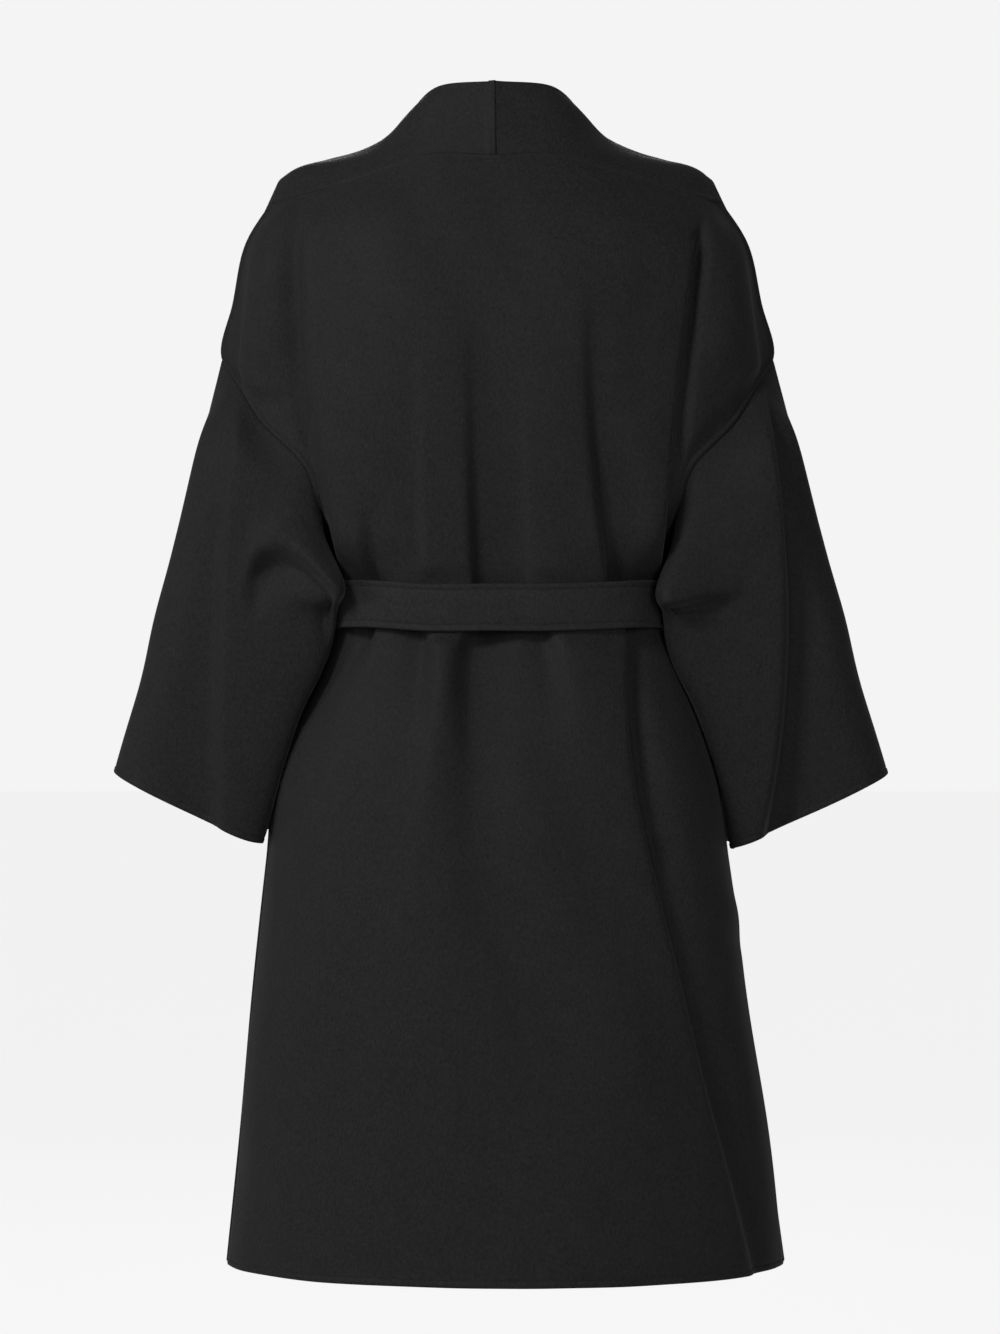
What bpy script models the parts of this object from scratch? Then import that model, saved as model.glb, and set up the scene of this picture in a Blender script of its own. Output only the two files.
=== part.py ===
"""Belted wool coat in its worn form, hollow, with dropped wide sleeves and a standing collar.

Metres, +Z up. The front faces -Y and the wearer's left is +X. The origin is at the nape, level with
the back-neck seam, where the shoulders carry the coat.
"""
from collections import namedtuple
import math

import bpy
import numpy as np

MM = 0.001

# Cloth and seams
WALL = 2.8 * MM
SEAM_INSET = 0.15 * MM
MITRE_LIMIT = 1.4
SAME_FACING = 0.85
SEAM_FADE_STEPS = 3.0
KEYS_PER_METRE = 1e7
TINY = 1e-9

# Wrap: each front passes the centre line, the right one on top
FRONT_LAP_ANGLE = 114.0
LAP_LIFT = 3.0 * MM
LAP_TOP = -150.0 * MM
LAP_FULL = -230.0 * MM

# The coat hangs a little askew: sideways shift at the collar and at the hem
LEAN_TOP = 4.0 * MM
LEAN_HEM = -5.0 * MM

# Belt
BELT_TOP = -424.0 * MM
BELT_BOTTOM = -470.0 * MM
BELT_THICK = 4.6 * MM
BELT_GAP = 0.3 * MM

# Knot and hanging ends
KNOT_X = 16.0 * MM
KNOT_GAP = 0.3 * MM
KNOT_SIDES = 20
END_WIDTH = 44.0 * MM
END_CLEAR = LAP_LIFT + 1.2 * MM
END_ROWS = 12
END_SWING = 1.3

# Knot sections from the belt outwards, mm
KnotRow = namedtuple("KnotRow", "out half_width half_height")
KNOT = [
    KnotRow(0, 23, 19),
    KnotRow(4, 28, 24),
    KnotRow(14, 29, 25),
    KnotRow(22, 23, 20),
    KnotRow(26, 12, 10),
]
KNOT_SQUARENESS = 2.8

# Hanging ends of the belt, mm: where each starts and stops and how far it stands off
BeltEnd = namedtuple("BeltEnd", "name x_top x_bottom z_bottom out")
BELT_ENDS = [
    BeltEnd("belt_end_left", 14, 46, -905, 0),
    BeltEnd("belt_end_right", 12, -20, -872, 5.2),
]

# Fabric
BLACK_WOOL = (0.0165, 0.0165, 0.0172, 1.0)
BLACK_BELT = (0.0180, 0.0180, 0.0187, 1.0)
WOOL_ROUGHNESS = 0.92

# Round the body: the angle of each line of the net, from the side seam to the middle of the back
BACK_ANGLES = (0.0, 10.0, 22.0, 36.0, 58.0, 74.0, 90.0)
# The same for a front, from the side seam past the middle to the front edge
FRONT_ANGLES = (0.0, 24.0, 46.0, 90.0, FRONT_LAP_ANGLE)

# Shoulder and back-neck seam from the middle of the back to the shoulder point, mm
SeamPoint = namedtuple("SeamPoint", "x y z")
SHOULDER_SEAM = [
    SeamPoint(0, 75, -4),
    SeamPoint(67, 67, -2),
    SeamPoint(112, 56, -13),
    SeamPoint(150, 46, -25),
    SeamPoint(178, 38, -32),
    SeamPoint(201, 29, -37),
    SeamPoint(222, 12, -41),
]

# Upper back, a row from the middle of the back to the panel's edge, mm. The edge is the shoulder
# seam over the arm down to the dropped armhole, then the back of the armhole to the underarm.
BackRow = namedtuple(
    "BackRow",
    "middle_y middle_z ridge_x ridge_y valley_x valley_y arm_x arm_y edge_x edge_y edge_z",
)
UPPER_BACK = [
    BackRow(98, -70, 188, 68, 197, 58, 227, 46, 252, -5, -88),
    BackRow(112, -125, 189, 78, 198, 66, 232, 53, 264, -10, -143),
    BackRow(120, -178, 184, 84, 193, 71, 228, 59, 276, -12, -197),
    BackRow(122, -210, 181, 87, 190, 75, 216, 64, 258, 27, -226),
    BackRow(123, -247, 177, 90, 186, 79, 206, 70, 236, 52, -262),
    BackRow(122, -297, 170, 94, 178, 81, 184, 77, 190, 74, -311),
    BackRow(119, -341, 162, 97, 169, 83, 173, 72, 176, 60, -352),
    BackRow(117, -386, 153, 95, 164, 76, 168, 42, 169, 0, -392),
]
BLADE_SHARES = (0.40, 0.69)
BLADE_ROUND = 3.2
ARMHOLE_ROWS = (3, 8)

# Waist and skirt sections, mm; square is 2 for an ellipse and more for a squarer section
Section = namedtuple("Section", "z left right back front square")
SKIRT = [
    Section(-418, 166, 166, 117, 120, 2.6),
    Section(-476, 166, 166, 117, 120, 2.6),
    Section(-512, 177, 176, 127, 130, 2.5),
    Section(-560, 201, 196, 138, 142, 2.45),
    Section(-620, 224, 215, 148, 153, 2.4),
    Section(-700, 234, 225, 157, 162, 2.3),
    Section(-830, 249, 240, 169, 174, 2.2),
    Section(-965, 262, 260, 179, 183, 2.1),
    Section(-1101, 277, 278, 188, 192, 2.05),
]

# Chest sections above the waist, used where the two fronts lap, mm
CHEST = [
    Section(-150, 176, 176, 117, 134, 2.6),
    Section(-210, 174, 174, 117, 141, 2.6),
    Section(-270, 172, 172, 117, 144, 2.6),
    Section(-325, 170, 170, 117, 141, 2.6),
    Section(-375, 168, 168, 117, 133, 2.6),
]
CHEST_NEAR = 55.0 * MM
CHEST_FAR = 120.0 * MM

# Front of the armhole between its top and the underarm, mm
FRONT_ARMHOLE = [
    SeamPoint(255, -50, -226),
    SeamPoint(222, -78, -264),
    SeamPoint(192, -74, -311),
    SeamPoint(178, -46, -352),
]

# Upper front, a row from the panel's outer seam past the shoulder, the arm and the chest to its free
# edge, mm. The rows fan round the shoulder and end at the middle of the back of the collar.
FrontRow = namedtuple("FrontRow", "shoulder arm chest edge")
UPPER_FRONT = [
    FrontRow((152, -62, -388), (118, -104, -384), (-2, -134, -372), (-66, -129, -366)),
    FrontRow((160, -86, -346), (130, -116, -340), (18, -141, -322), (-42, -137, -312)),
    FrontRow((172, -98, -303), (142, -121, -295), (40, -143, -272), (-16, -140, -260)),
    FrontRow((192, -94, -255), (158, -117, -246), (62, -141, -218), (12, -139, -204)),
    FrontRow((216, -82, -218), (170, -107, -208), (78, -135, -176), (31, -133, -160)),
    FrontRow((244, -66, -188), (184, -94, -172), (91, -127, -138), (46, -125, -120)),
    FrontRow((244, -56, -134), (193, -82, -118), (100, -114, -90), (57, -111, -76)),
    FrontRow((234, -44, -72), (190, -66, -56), (104, -92, -42), (64, -91, -32)),
    FrontRow((215, -10, -17), (186, -34, -5), (106, -64, 2), (69, -67, 10)),
    FrontRow((198, 9, -10), (172, -12, 1), (107, -40, 15), (73, -45, 28)),
    FrontRow((177, 20, -9), (154, 2, 3), (102, -23, 23), (76, -27, 39)),
    FrontRow((151, 30, -7), (133, 14, 7), (95, -8, 33), (76, -12, 49)),
    FrontRow((114, 44, 0), (107, 32, 14), (90, 14, 42), (75, 9, 57)),
    FrontRow((71, 61, 11), (72, 54, 25), (66, 45, 54), (57, 41, 68)),
    FrontRow((0, 74, 10), (0, 71, 25), (0, 65, 55), (0, 62, 71)),
]

# Sleeve sections from just below the armhole to the cuff, mm; front_x is the inner side's place at the
# front, where it lies before the hip, and drop is how far the back hangs lower
SleeveRow = namedtuple("SleeveRow", "outer_x outer_z inner_x inner_z front_x middle_y back front drop")
SLEEVE_LEFT = [
    SleeveRow(297, -268, 181, -437, 174, -12, 82, 86, 0),
    SleeveRow(319, -370, 177, -484, 160, -26, 88, 88, 2),
    SleeveRow(355, -482, 213, -562, 180, -40, 92, 90, 8),
    SleeveRow(389, -611, 240, -672, 206, -54, 88, 90, 14),
]
SLEEVE_RIGHT = [
    SLEEVE_LEFT[0],
    SLEEVE_LEFT[1],
    SLEEVE_LEFT[2]._replace(inner_x=206, front_x=175),
    SLEEVE_LEFT[3]._replace(outer_z=-613, inner_x=231, inner_z=-684, front_x=198, drop=7),
]
SLEEVE_SQUARENESS = 3.6
# Shares of a sleeve's depth between which its inner side moves to its place at the front
INNER_TURN = (-0.2, 0.8)
DROP_INWARD = 1.25

# Large folds. A fold runs down a line from one height to another; its depth, in mm, is out (+) or
# in (-), and its two flanks have their own widths, towards the wearer's right and left.
Fold = namedtuple(
    "Fold",
    "z_from z_to x_from x_middle x_to right_from left_from right_to left_to depth_from depth_to",
)
# Shares of a fold's length over which it rises and dies away, and its narrowest flank, mm
FOLD_RISE = (-0.10, 0.12)
FOLD_FALL = (0.94, 1.10)
FOLD_REACH = (-0.2, 1.2)
NARROWEST_FLANK = 4.0
BACK_FOLDS = [
    Fold(-200, -440, 22, 22, 20, 16, 12, 14, 12, 0, -6),
    Fold(-180, -440, -98, -102, -122, 20, 18, 14, 14, -1, -10),
    Fold(-330, -440, 128, 128, 126, 14, 14, 13, 13, 0, -6),
    Fold(-90, -260, -155, -140, -130, 24, 24, 24, 24, 0, -3),
    Fold(-455, -760, 32, 20, -14, 16, 14, 26, 22, -9, -5),
    Fold(-740, -1060, -10, -42, -78, 26, 22, 40, 34, -5, 0),
    Fold(-500, -860, 58, 74, 104, 18, 18, 34, 34, 5, 2),
    Fold(-455, -560, -18, -20, -22, 18, 18, 20, 20, -5, 0),
    Fold(-500, -700, -52, -86, -110, 18, 18, 30, 30, 5, 0),
    Fold(-455, -700, -132, -138, -172, 16, 13, 30, 15, -9, -11),
    Fold(-690, -1101, -170, -208, -248, 30, 15, 40, 16, -11, -9),
    Fold(-490, -640, 138, 172, 196, 16, 16, 22, 22, 4, 0),
    Fold(-700, -1101, -90, -110, -130, 60, 60, 80, 80, 0, 8),
    Fold(-800, -1101, 110, 120, 130, 60, 60, 70, 70, 0, -5),
]
FRONT_FOLDS = [
    Fold(-210, -440, 92, 96, 104, 20, 20, 18, 18, 0, -7),
    Fold(-250, -440, -88, -94, -100, 20, 20, 18, 18, 0, -7),
    Fold(-455, -900, 132, 172, 205, 20, 20, 34, 30, -6, -4),
    Fold(-455, -980, -132, -170, -208, 20, 20, 30, 36, -6, -5),
]
SLEEVE_FOLDS_LEFT = [
    Fold(-215, -660, 264, 278, 274, 34, 16, 40, 22, 7, 4),
]
SLEEVE_FOLDS_RIGHT = [
    Fold(-225, -690, 262, 278, 256, 36, 12, 38, 16, 8, 8),
    Fold(-300, -690, 298, 304, 290, 16, 18, 20, 26, -2, -13),
]

# Swells and hollows of the cloth under the arm: centre, reach and push, mm. They and the sleeve's
# folds are on the part of the sleeve that faces back at least this much.
FACES_BACK = 0.5
Swell = namedtuple("Swell", "x z reach_x reach_z push_x push_y")
SLEEVE_SWELLS_LEFT = [
    Swell(188, -416, 32, 26, -20, 18),
    Swell(222, -436, 32, 20, 4, -16),
]
SLEEVE_SWELLS_RIGHT = [
    Swell(188, -416, 32, 26, -20, 18),
    Swell(208, -446, 30, 18, 4, -14),
]

# Grid steps between the key rows and lines
BACK_ROW_STEPS = (3, 2, 2, 2, 2, 3, 2, 2, 1, 2, 2, 2, 3, 3, 4, 4, 4)
BACK_LINE_STEPS = (2, 2, 2, 3, 3, 4)
FRONT_LINE_STEPS = (2, 2, 4, 3)
SLEEVE_ROW_STEPS = (4, 4, 4, 4)
FRONT_FADE_LINES = 6.0
COLLAR_FADE_ROWS = 4.0


def clear_scene():
    for item in list(bpy.data.objects):
        bpy.data.objects.remove(item, do_unlink=True)


def fabric(name, colour):
    material = bpy.data.materials.new(name)
    material.use_nodes = True
    shader = material.node_tree.nodes["Principled BSDF"]
    shader.inputs["Base Color"].default_value = colour
    shader.inputs["Roughness"].default_value = WOOL_ROUGHNESS
    shader.inputs["Metallic"].default_value = 0.0
    return material


def smooth_step(low, high, value):
    share = np.clip((value - low) / (high - low), 0.0, 1.0)
    return share * share * (3.0 - 2.0 * share)


def smooth_through(knots, values, samples):
    """Smooth curve through the values at the knots, read at the samples (along the first axis)."""
    knots = np.asarray(knots, float)
    values = np.asarray(values, float)
    samples = np.asarray(samples, float)
    along = (-1,) + (1,) * (values.ndim - 1)
    gaps = np.diff(knots)
    slopes = np.diff(values, axis=0) / gaps.reshape(along)
    tangents = np.empty_like(values)
    tangents[0] = slopes[0]
    tangents[-1] = slopes[-1]
    before = gaps[:-1].reshape(along)
    after = gaps[1:].reshape(along)
    tangents[1:-1] = (slopes[:-1] * after + slopes[1:] * before) / (before + after)
    index = np.clip(np.searchsorted(knots, samples, side="right") - 1, 0, len(gaps) - 1)
    width = gaps[index].reshape(along)
    t = (samples - knots[index]).reshape(along) / width
    start = (1.0 + 2.0 * t) * (1.0 - t) ** 2 * values[index]
    end = t * t * (3.0 - 2.0 * t) * values[index + 1]
    lead = t * (1.0 - t) ** 2 * width * tangents[index]
    trail = t * t * (t - 1.0) * width * tangents[index + 1]
    return start + end + lead + trail


def net_knots(net, axis):
    """Running mean length of the net's steps along one axis."""
    steps = np.linalg.norm(np.diff(net, axis=axis), axis=-1)
    means = steps.mean(axis=1 - axis)
    return np.concatenate([[0.0], np.cumsum(means)])


def stepped(knots, steps):
    """Each stretch between knots cut into its number of equal steps."""
    parts = [np.linspace(a, b, n, endpoint=False) for a, b, n in zip(knots[:-1], knots[1:], steps)]
    return np.concatenate(parts + [knots[-1:]])


def net_surface(net, row_steps, line_steps):
    """Smooth grid through a net of points."""
    row_knots = net_knots(net, 0)
    line_knots = net_knots(net, 1)
    rows = smooth_through(row_knots, net, stepped(row_knots, row_steps))
    lines = smooth_through(line_knots, rows.transpose(1, 0, 2), stepped(line_knots, line_steps))
    return lines.transpose(1, 0, 2)


def round_share(angle, power):
    """Rounded-square section: shares of the half width and of the depth at an angle."""
    cosine = math.cos(math.radians(angle))
    sine = math.sin(math.radians(angle))
    across = math.copysign(abs(cosine) ** (2.0 / power), cosine)
    deep = math.copysign(abs(sine) ** (2.0 / power), sine)
    return across, deep


def back_half_net(side):
    """Key points of half of the back, turned to the left, from the side edge to the middle."""
    rows = [[tuple(point) for point in reversed(SHOULDER_SEAM)]]
    for row in UPPER_BACK:
        def height(x):
            return row.middle_z + (row.edge_z - row.middle_z) * (x / row.edge_x) ** 2
        points = [(row.edge_x, row.edge_y, row.edge_z)]
        points.append((row.arm_x, row.arm_y, height(row.arm_x)))
        points.append((row.valley_x, row.valley_y, height(row.valley_x)))
        points.append((row.ridge_x, row.ridge_y, height(row.ridge_x)))
        for share in reversed(BLADE_SHARES):
            x = share * row.ridge_x
            y = row.middle_y - (row.middle_y - row.ridge_y) * share ** BLADE_ROUND
            points.append((x, y, height(x)))
        points.append((0.0, row.middle_y, row.middle_z))
        rows.append(points)
    for section in SKIRT:
        points = []
        for angle in BACK_ANGLES:
            across, deep = round_share(angle, section.square)
            points.append((across * getattr(section, side), deep * section.back, section.z))
        rows.append(points)
    return np.array(rows, float) * MM


def mirrored(points):
    return points * np.array([-1.0, 1.0, 1.0])


def fold_push(x, z, folds):
    """Sum of the folds' depths at places given in metres."""
    push = np.zeros_like(x)
    for fold in folds:
        share = np.clip((z / MM - fold.z_from) / (fold.z_to - fold.z_from), *FOLD_REACH)
        bow = 4.0 * share * (1.0 - share)
        middle = fold.x_middle - (fold.x_from + fold.x_to) / 2.0
        line = fold.x_from + (fold.x_to - fold.x_from) * share + middle * bow
        right = np.maximum(fold.right_from + (fold.right_to - fold.right_from) * share, NARROWEST_FLANK)
        left = np.maximum(fold.left_from + (fold.left_to - fold.left_from) * share, NARROWEST_FLANK)
        depth = fold.depth_from + (fold.depth_to - fold.depth_from) * np.clip(share, 0.0, 1.0)
        off = x / MM - line
        width = np.where(off < 0.0, right, left)
        ends = smooth_step(*FOLD_RISE, share) * (1.0 - smooth_step(*FOLD_FALL, share))
        push += depth * MM * np.exp(-(off / width) ** 2) * ends
    return push


def grid_normals(grid, wrap, facing):
    """Unit normals at the points of a grid; wrap joins its last line to its first."""
    count = grid.shape[1]
    this = np.arange(count if wrap else count - 1)
    following = (this + 1) % count
    a = grid[:-1][:, this]
    b = grid[:-1][:, following]
    c = grid[1:][:, following]
    d = grid[1:][:, this]
    face = np.cross(c - a, d - b)
    total = np.zeros_like(grid)
    np.add.at(total, (slice(None, -1), this), face)
    np.add.at(total, (slice(None, -1), following), face)
    np.add.at(total, (slice(1, None), this), face)
    np.add.at(total, (slice(1, None), following), face)
    length = np.linalg.norm(total, axis=-1, keepdims=True)
    return facing * total / np.maximum(length, TINY ** 2)


def push_level(grid, normals, amount):
    """Move points out level with the ground, along their normals."""
    flat = normals * np.array([1.0, 1.0, 0.0])
    length = np.linalg.norm(flat, axis=-1, keepdims=True)
    return grid + flat / np.maximum(length, TINY) * amount[..., None]


def back_panel():
    """Back grid before and after folding, rows from the seam to the hem, lines from right to left."""
    right = mirrored(back_half_net("right"))
    left = back_half_net("left")
    net = np.concatenate([right, left[:, -2::-1]], axis=1)
    line_steps = BACK_LINE_STEPS + BACK_LINE_STEPS[::-1]
    plain = net_surface(net, BACK_ROW_STEPS, line_steps)
    push = fold_push(plain[..., 0], plain[..., 2], BACK_FOLDS)
    lines = np.arange(plain.shape[1])
    from_edge = np.minimum(lines, lines[::-1])
    push *= smooth_step(0.0, SEAM_FADE_STEPS, from_edge)[None, :]
    push[0] = 0.0
    normals = grid_normals(plain, False, 1.0)
    return plain, push_level(plain, normals, push)


def row_starts(steps):
    return np.concatenate([[0], np.cumsum(steps)])


def seam_curve(first, points, last, steps):
    """Points along a seam through its key points, cut into the given steps."""
    keys = np.array([tuple(point) for point in points], float) * MM
    keys = np.concatenate([first[None], keys, last[None]])
    knots = np.concatenate([[0.0], np.cumsum(np.linalg.norm(np.diff(keys, axis=0), axis=1))])
    return smooth_through(knots, keys, stepped(knots, steps))


def front_armhole(edge):
    """Front of the armhole, from its top to the underarm, given the back panel's left edge."""
    starts = row_starts(BACK_ROW_STEPS)
    top, bottom = ARMHOLE_ROWS
    return seam_curve(edge[starts[top]], FRONT_ARMHOLE, edge[starts[bottom]], BACK_ROW_STEPS[top:bottom])


def front_face_y(x, z, side):
    """How far forward one side's front stands at places given in metres."""
    sections = CHEST + SKIRT
    heights = [-section.z * MM for section in sections]
    down = np.clip(-z, heights[0], heights[-1]).ravel()

    def at_height(name):
        values = smooth_through(heights, [getattr(section, name) for section in sections], down)
        return values.reshape(x.shape)

    share = np.clip(np.abs(x) / (at_height(side) * MM), 0.0, 1.0)
    square = at_height("square")
    return -at_height("front") * MM * (1.0 - share ** square) ** (1.0 / square)


def front_panel(outer, side):
    """Front before lapping, turned to the left: rows from the hem round the shoulder to the collar."""
    rows = []
    for section in reversed(SKIRT):
        points = []
        for angle in FRONT_ANGLES:
            across, deep = round_share(angle, section.square)
            points.append((across * getattr(section, side), -deep * section.front, section.z))
        rows.append(points)
    steps = BACK_ROW_STEPS[::-1] + BACK_LINE_STEPS
    starts = row_starts(steps)
    for number, row in enumerate(UPPER_FRONT):
        seam = outer[starts[len(SKIRT) + number]] / MM
        rows.append([tuple(seam), row.shoulder, row.arm, row.chest, row.edge])
    net = np.array(rows, float) * MM
    grid = net_surface(net, steps, FRONT_LINE_STEPS)
    off = outer - grid[:, 0]
    fade = 1.0 - smooth_step(0.0, FRONT_FADE_LINES, np.arange(grid.shape[1]))
    grid = grid + off[:, None] * fade[None, :, None]
    last = UPPER_FRONT[-1]
    collar_end = np.array(last.edge, float) * MM
    collar_seam = seam_curve(outer[-1], last[:-1], collar_end, FRONT_LINE_STEPS)
    from_end = np.arange(len(grid))[::-1]
    near_end = 1.0 - smooth_step(0.0, COLLAR_FADE_ROWS, from_end)
    grid = grid + (collar_seam - grid[-1])[None] * near_end[:, None, None]
    lap = 1.0 - smooth_step(LAP_FULL, LAP_TOP, grid[..., 2])
    at_middle = 1.0 - smooth_step(CHEST_NEAR, CHEST_FAR, grid[..., 0])
    below_waist = 1.0 - smooth_step(SKIRT[0].z * MM, CHEST[-1].z * MM, grid[..., 2])
    from_seam = smooth_step(0.0, SEAM_FADE_STEPS, np.arange(grid.shape[1]))
    weight = lap * from_seam * np.maximum(at_middle, below_waist * (grid[..., 1] < 0.0))
    grid[..., 1] += weight * (front_face_y(grid[..., 0], grid[..., 2], side) - grid[..., 1])
    return grid


def lapped(grid, facing, lift, folds):
    """Front with its folds, moved in or out where the two fronts lap."""
    normals = grid_normals(grid, False, facing)
    lines = np.arange(grid.shape[1])
    push = fold_push(grid[..., 0], grid[..., 2], folds)
    push *= (grid[..., 1] < 0.0)
    push *= smooth_step(0.0, SEAM_FADE_STEPS, lines)[None, :]
    below = 1.0 - smooth_step(LAP_FULL, LAP_TOP, grid[..., 2])
    push += lift * below * smooth_step(1.0, FRONT_FADE_LINES, lines)[None, :]
    return push_level(grid, normals, push)


def sleeve_tube(loop, sections, folds, swells):
    """Left sleeve: rings from the armhole loop to the cuff, lines from the top round by the back."""
    count = len(loop)
    rings = []
    for row in sections:
        ring = []
        for number in range(count):
            across, deep = round_share(360.0 * number / count, SLEEVE_SQUARENESS)
            share = (1.0 + across) / 2.0
            reach = row.back if deep > 0.0 else row.front
            inner_x = row.inner_x + (row.front_x - row.inner_x) * smooth_step(*INNER_TURN, -deep)
            x = inner_x + (row.outer_x - inner_x) * share
            z = row.inner_z + (row.outer_z - row.inner_z) * share
            z -= row.drop * max(deep, 0.0) ** 2 * (DROP_INWARD - share)
            ring.append((x, row.middle_y + deep * reach, z))
        rings.append(ring)
    net = np.concatenate([loop[None], np.array(rings, float) * MM])
    knots = net_knots(net, 0)
    tube = smooth_through(knots, net, stepped(knots, SLEEVE_ROW_STEPS))
    normals = grid_normals(tube, True, -1.0)
    at_back = smooth_step(0.0, FACES_BACK, normals[..., 1])
    from_seam = smooth_step(0.0, SEAM_FADE_STEPS, np.arange(tube.shape[0]))[:, None]
    push = fold_push(tube[..., 0], tube[..., 2], folds)
    tube = push_level(tube, normals, push * at_back * from_seam)
    moved = tube.copy()
    for swell in swells:
        reach_x = (tube[..., 0] / MM - swell.x) / swell.reach_x
        reach_z = (tube[..., 2] / MM - swell.z) / swell.reach_z
        weight = np.exp(-(reach_x ** 2 + reach_z ** 2)) * at_back * from_seam
        moved[..., 0] += weight * swell.push_x * MM
        moved[..., 1] += weight * swell.push_y * MM
    return moved


def leaned(points):
    """The whole coat sheared a little sideways between collar and hem."""
    share = points[..., 2] / (SKIRT[-1].z * MM)
    moved = points.copy()
    moved[..., 0] += LEAN_TOP + (LEAN_HEM - LEAN_TOP) * share
    return moved


class Cloth:
    """One cut piece as a grid of outer points with their normals."""

    def __init__(self, name, grid, wrap, facing):
        self.name = name
        self.grid = leaned(grid)
        self.wrap = wrap
        self.facing = facing
        self.own_normals = grid_normals(self.grid, wrap, facing)
        self.normals = self.own_normals

    def keys(self):
        """Whole numbers that are equal where points of two pieces meet."""
        places = np.round(self.grid.reshape(-1, 3) * KEYS_PER_METRE).astype(np.int64)
        return [tuple(place) for place in places]


def share_normals(pieces):
    """Give points that meet at a seam one common direction, so that the walls end on one plane."""
    facings = {}
    for piece in pieces:
        for key, normal in zip(piece.keys(), piece.own_normals.reshape(-1, 3)):
            facings.setdefault(key, []).append(normal)
    shared = {}
    for key, met in facings.items():
        if len(met) > 2:
            met = [n for i, n in enumerate(met) if all(np.dot(n, other) < SAME_FACING for other in met[:i])]
        joint = sum(met)
        joint = joint / max(np.linalg.norm(joint), TINY)
        slant = max(min(np.dot(joint, normal) for normal in met), 1.0 / MITRE_LIMIT)
        shared[key] = (joint, WALL / slant)
    for piece in pieces:
        keys = piece.keys()
        piece.normals = np.array([shared[key][0] for key in keys]).reshape(piece.grid.shape)
        piece.depths = np.array([shared[key][1] for key in keys]).reshape(piece.grid.shape[:2] + (1,))


def wall_points(piece):
    """Outer and inner grids, each edge drawn back from its seam."""
    grid = piece.grid
    normals = piece.normals
    inset = np.zeros_like(grid)

    def draw_back(edge, along, inward):
        normal = normals[edge]
        line = grid[edge]
        tangent = np.gradient(line, axis=0) if along else np.roll(line, -1, 0) - np.roll(line, 1, 0)
        tangent /= np.linalg.norm(tangent, axis=-1, keepdims=True)
        away = inward - np.sum(inward * normal, -1, keepdims=True) * normal
        side = np.cross(normal, tangent)
        side /= np.maximum(np.linalg.norm(side, axis=-1, keepdims=True), TINY)
        sign = np.sign(np.sum(away * side, -1, keepdims=True))
        inset[edge] += SEAM_INSET * sign * side

    everything = slice(None)
    draw_back((0, everything), not piece.wrap, grid[1] - grid[0])
    draw_back((-1, everything), not piece.wrap, grid[-2] - grid[-1])
    if not piece.wrap:
        draw_back((everything, 0), True, grid[:, 1] - grid[:, 0])
        draw_back((everything, -1), True, grid[:, -2] - grid[:, -1])
    outer = grid + inset
    return outer, outer - piece.depths * normals


def wall_faces(piece):
    """Triangles of a closed wall whose outer and inner grids follow each other."""
    rows, lines = piece.grid.shape[:2]
    wrap = piece.wrap
    places = piece.keys()
    inner = rows * lines
    faces = []

    def add(a, b, c):
        faces.append((a, c, b) if piece.facing > 0.0 else (a, b, c))

    spans = lines if wrap else lines - 1
    for row in range(rows - 1):
        for line in range(spans):
            a = row * lines + line
            b = row * lines + (line + 1) % lines
            c = (row + 1) * lines + (line + 1) % lines
            d = (row + 1) * lines + line
            add(a, c, b)
            add(a, d, c)
            add(inner + a, inner + b, inner + c)
            add(inner + a, inner + c, inner + d)

    def rim(a, b):
        """Both pieces at a seam split the rim along the same diagonal."""
        if places[a] < places[b]:
            add(a, b, inner + b)
            add(a, inner + b, inner + a)
        else:
            add(a, b, inner + a)
            add(b, inner + b, inner + a)

    for line in range(spans):
        rim(line, (line + 1) % lines)
        last = (rows - 1) * lines
        rim(last + (line + 1) % lines, last + line)
    if not wrap:
        for row in range(rows - 1):
            rim((row + 1) * lines, row * lines)
            rim(row * lines + lines - 1, (row + 1) * lines + lines - 1)
    return faces


def add_object(name, points, faces, material):
    mesh = bpy.data.meshes.new(name)
    mesh.from_pydata([tuple(point) for point in points], [], faces)
    mesh.validate()
    mesh.shade_smooth()
    mesh.materials.append(material)
    item = bpy.data.objects.new(name, mesh)
    bpy.context.scene.collection.objects.link(item)
    return item


def add_cloth(piece, material):
    outer, inner = wall_points(piece)
    points = np.concatenate([outer.reshape(-1, 3), inner.reshape(-1, 3)])
    add_object(piece.name, points, wall_faces(piece), material)


def ring_normals(ring):
    """Level outward directions along a closed ring that runs anticlockwise seen from above."""
    tangent = np.roll(ring, -1, 0) - np.roll(ring, 1, 0)
    out = np.stack([tangent[:, 1], -tangent[:, 0], np.zeros(len(ring))], axis=1)
    return out / np.linalg.norm(out, axis=1, keepdims=True)


def waist_ring(back, front):
    """Closed line round the waist on the unfolded cloth, lifted in front over the lap."""
    starts = row_starts(BACK_ROW_STEPS)
    level = starts[len(UPPER_BACK) + 1]
    back_row = back[level][::-1]
    front_level = row_starts(BACK_ROW_STEPS[::-1])[len(SKIRT) - 1]
    to_middle = sum(FRONT_LINE_STEPS[:-1])
    left = front[front_level][: to_middle + 1]
    lift = LAP_LIFT * smooth_step(0.0, FRONT_FADE_LINES, np.arange(len(left)))
    left = left - np.array([0.0, 1.0, 0.0]) * lift[:, None]
    right = mirrored(left)
    return np.concatenate([back_row[:-1], right[:-1], left[:0:-1]])


def belt_band(ring):
    """Outer and inner points of the belt, row by row from its top edge to its bottom edge."""
    out = ring_normals(ring)
    inside = ring + out * BELT_GAP
    outside = inside + out * BELT_THICK
    corners = []
    for place, z in ((inside, BELT_TOP), (outside, BELT_TOP), (outside, BELT_BOTTOM), (inside, BELT_BOTTOM)):
        corner = place.copy()
        corner[:, 2] = z
        corners.append(corner)
    return np.array(corners)


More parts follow.
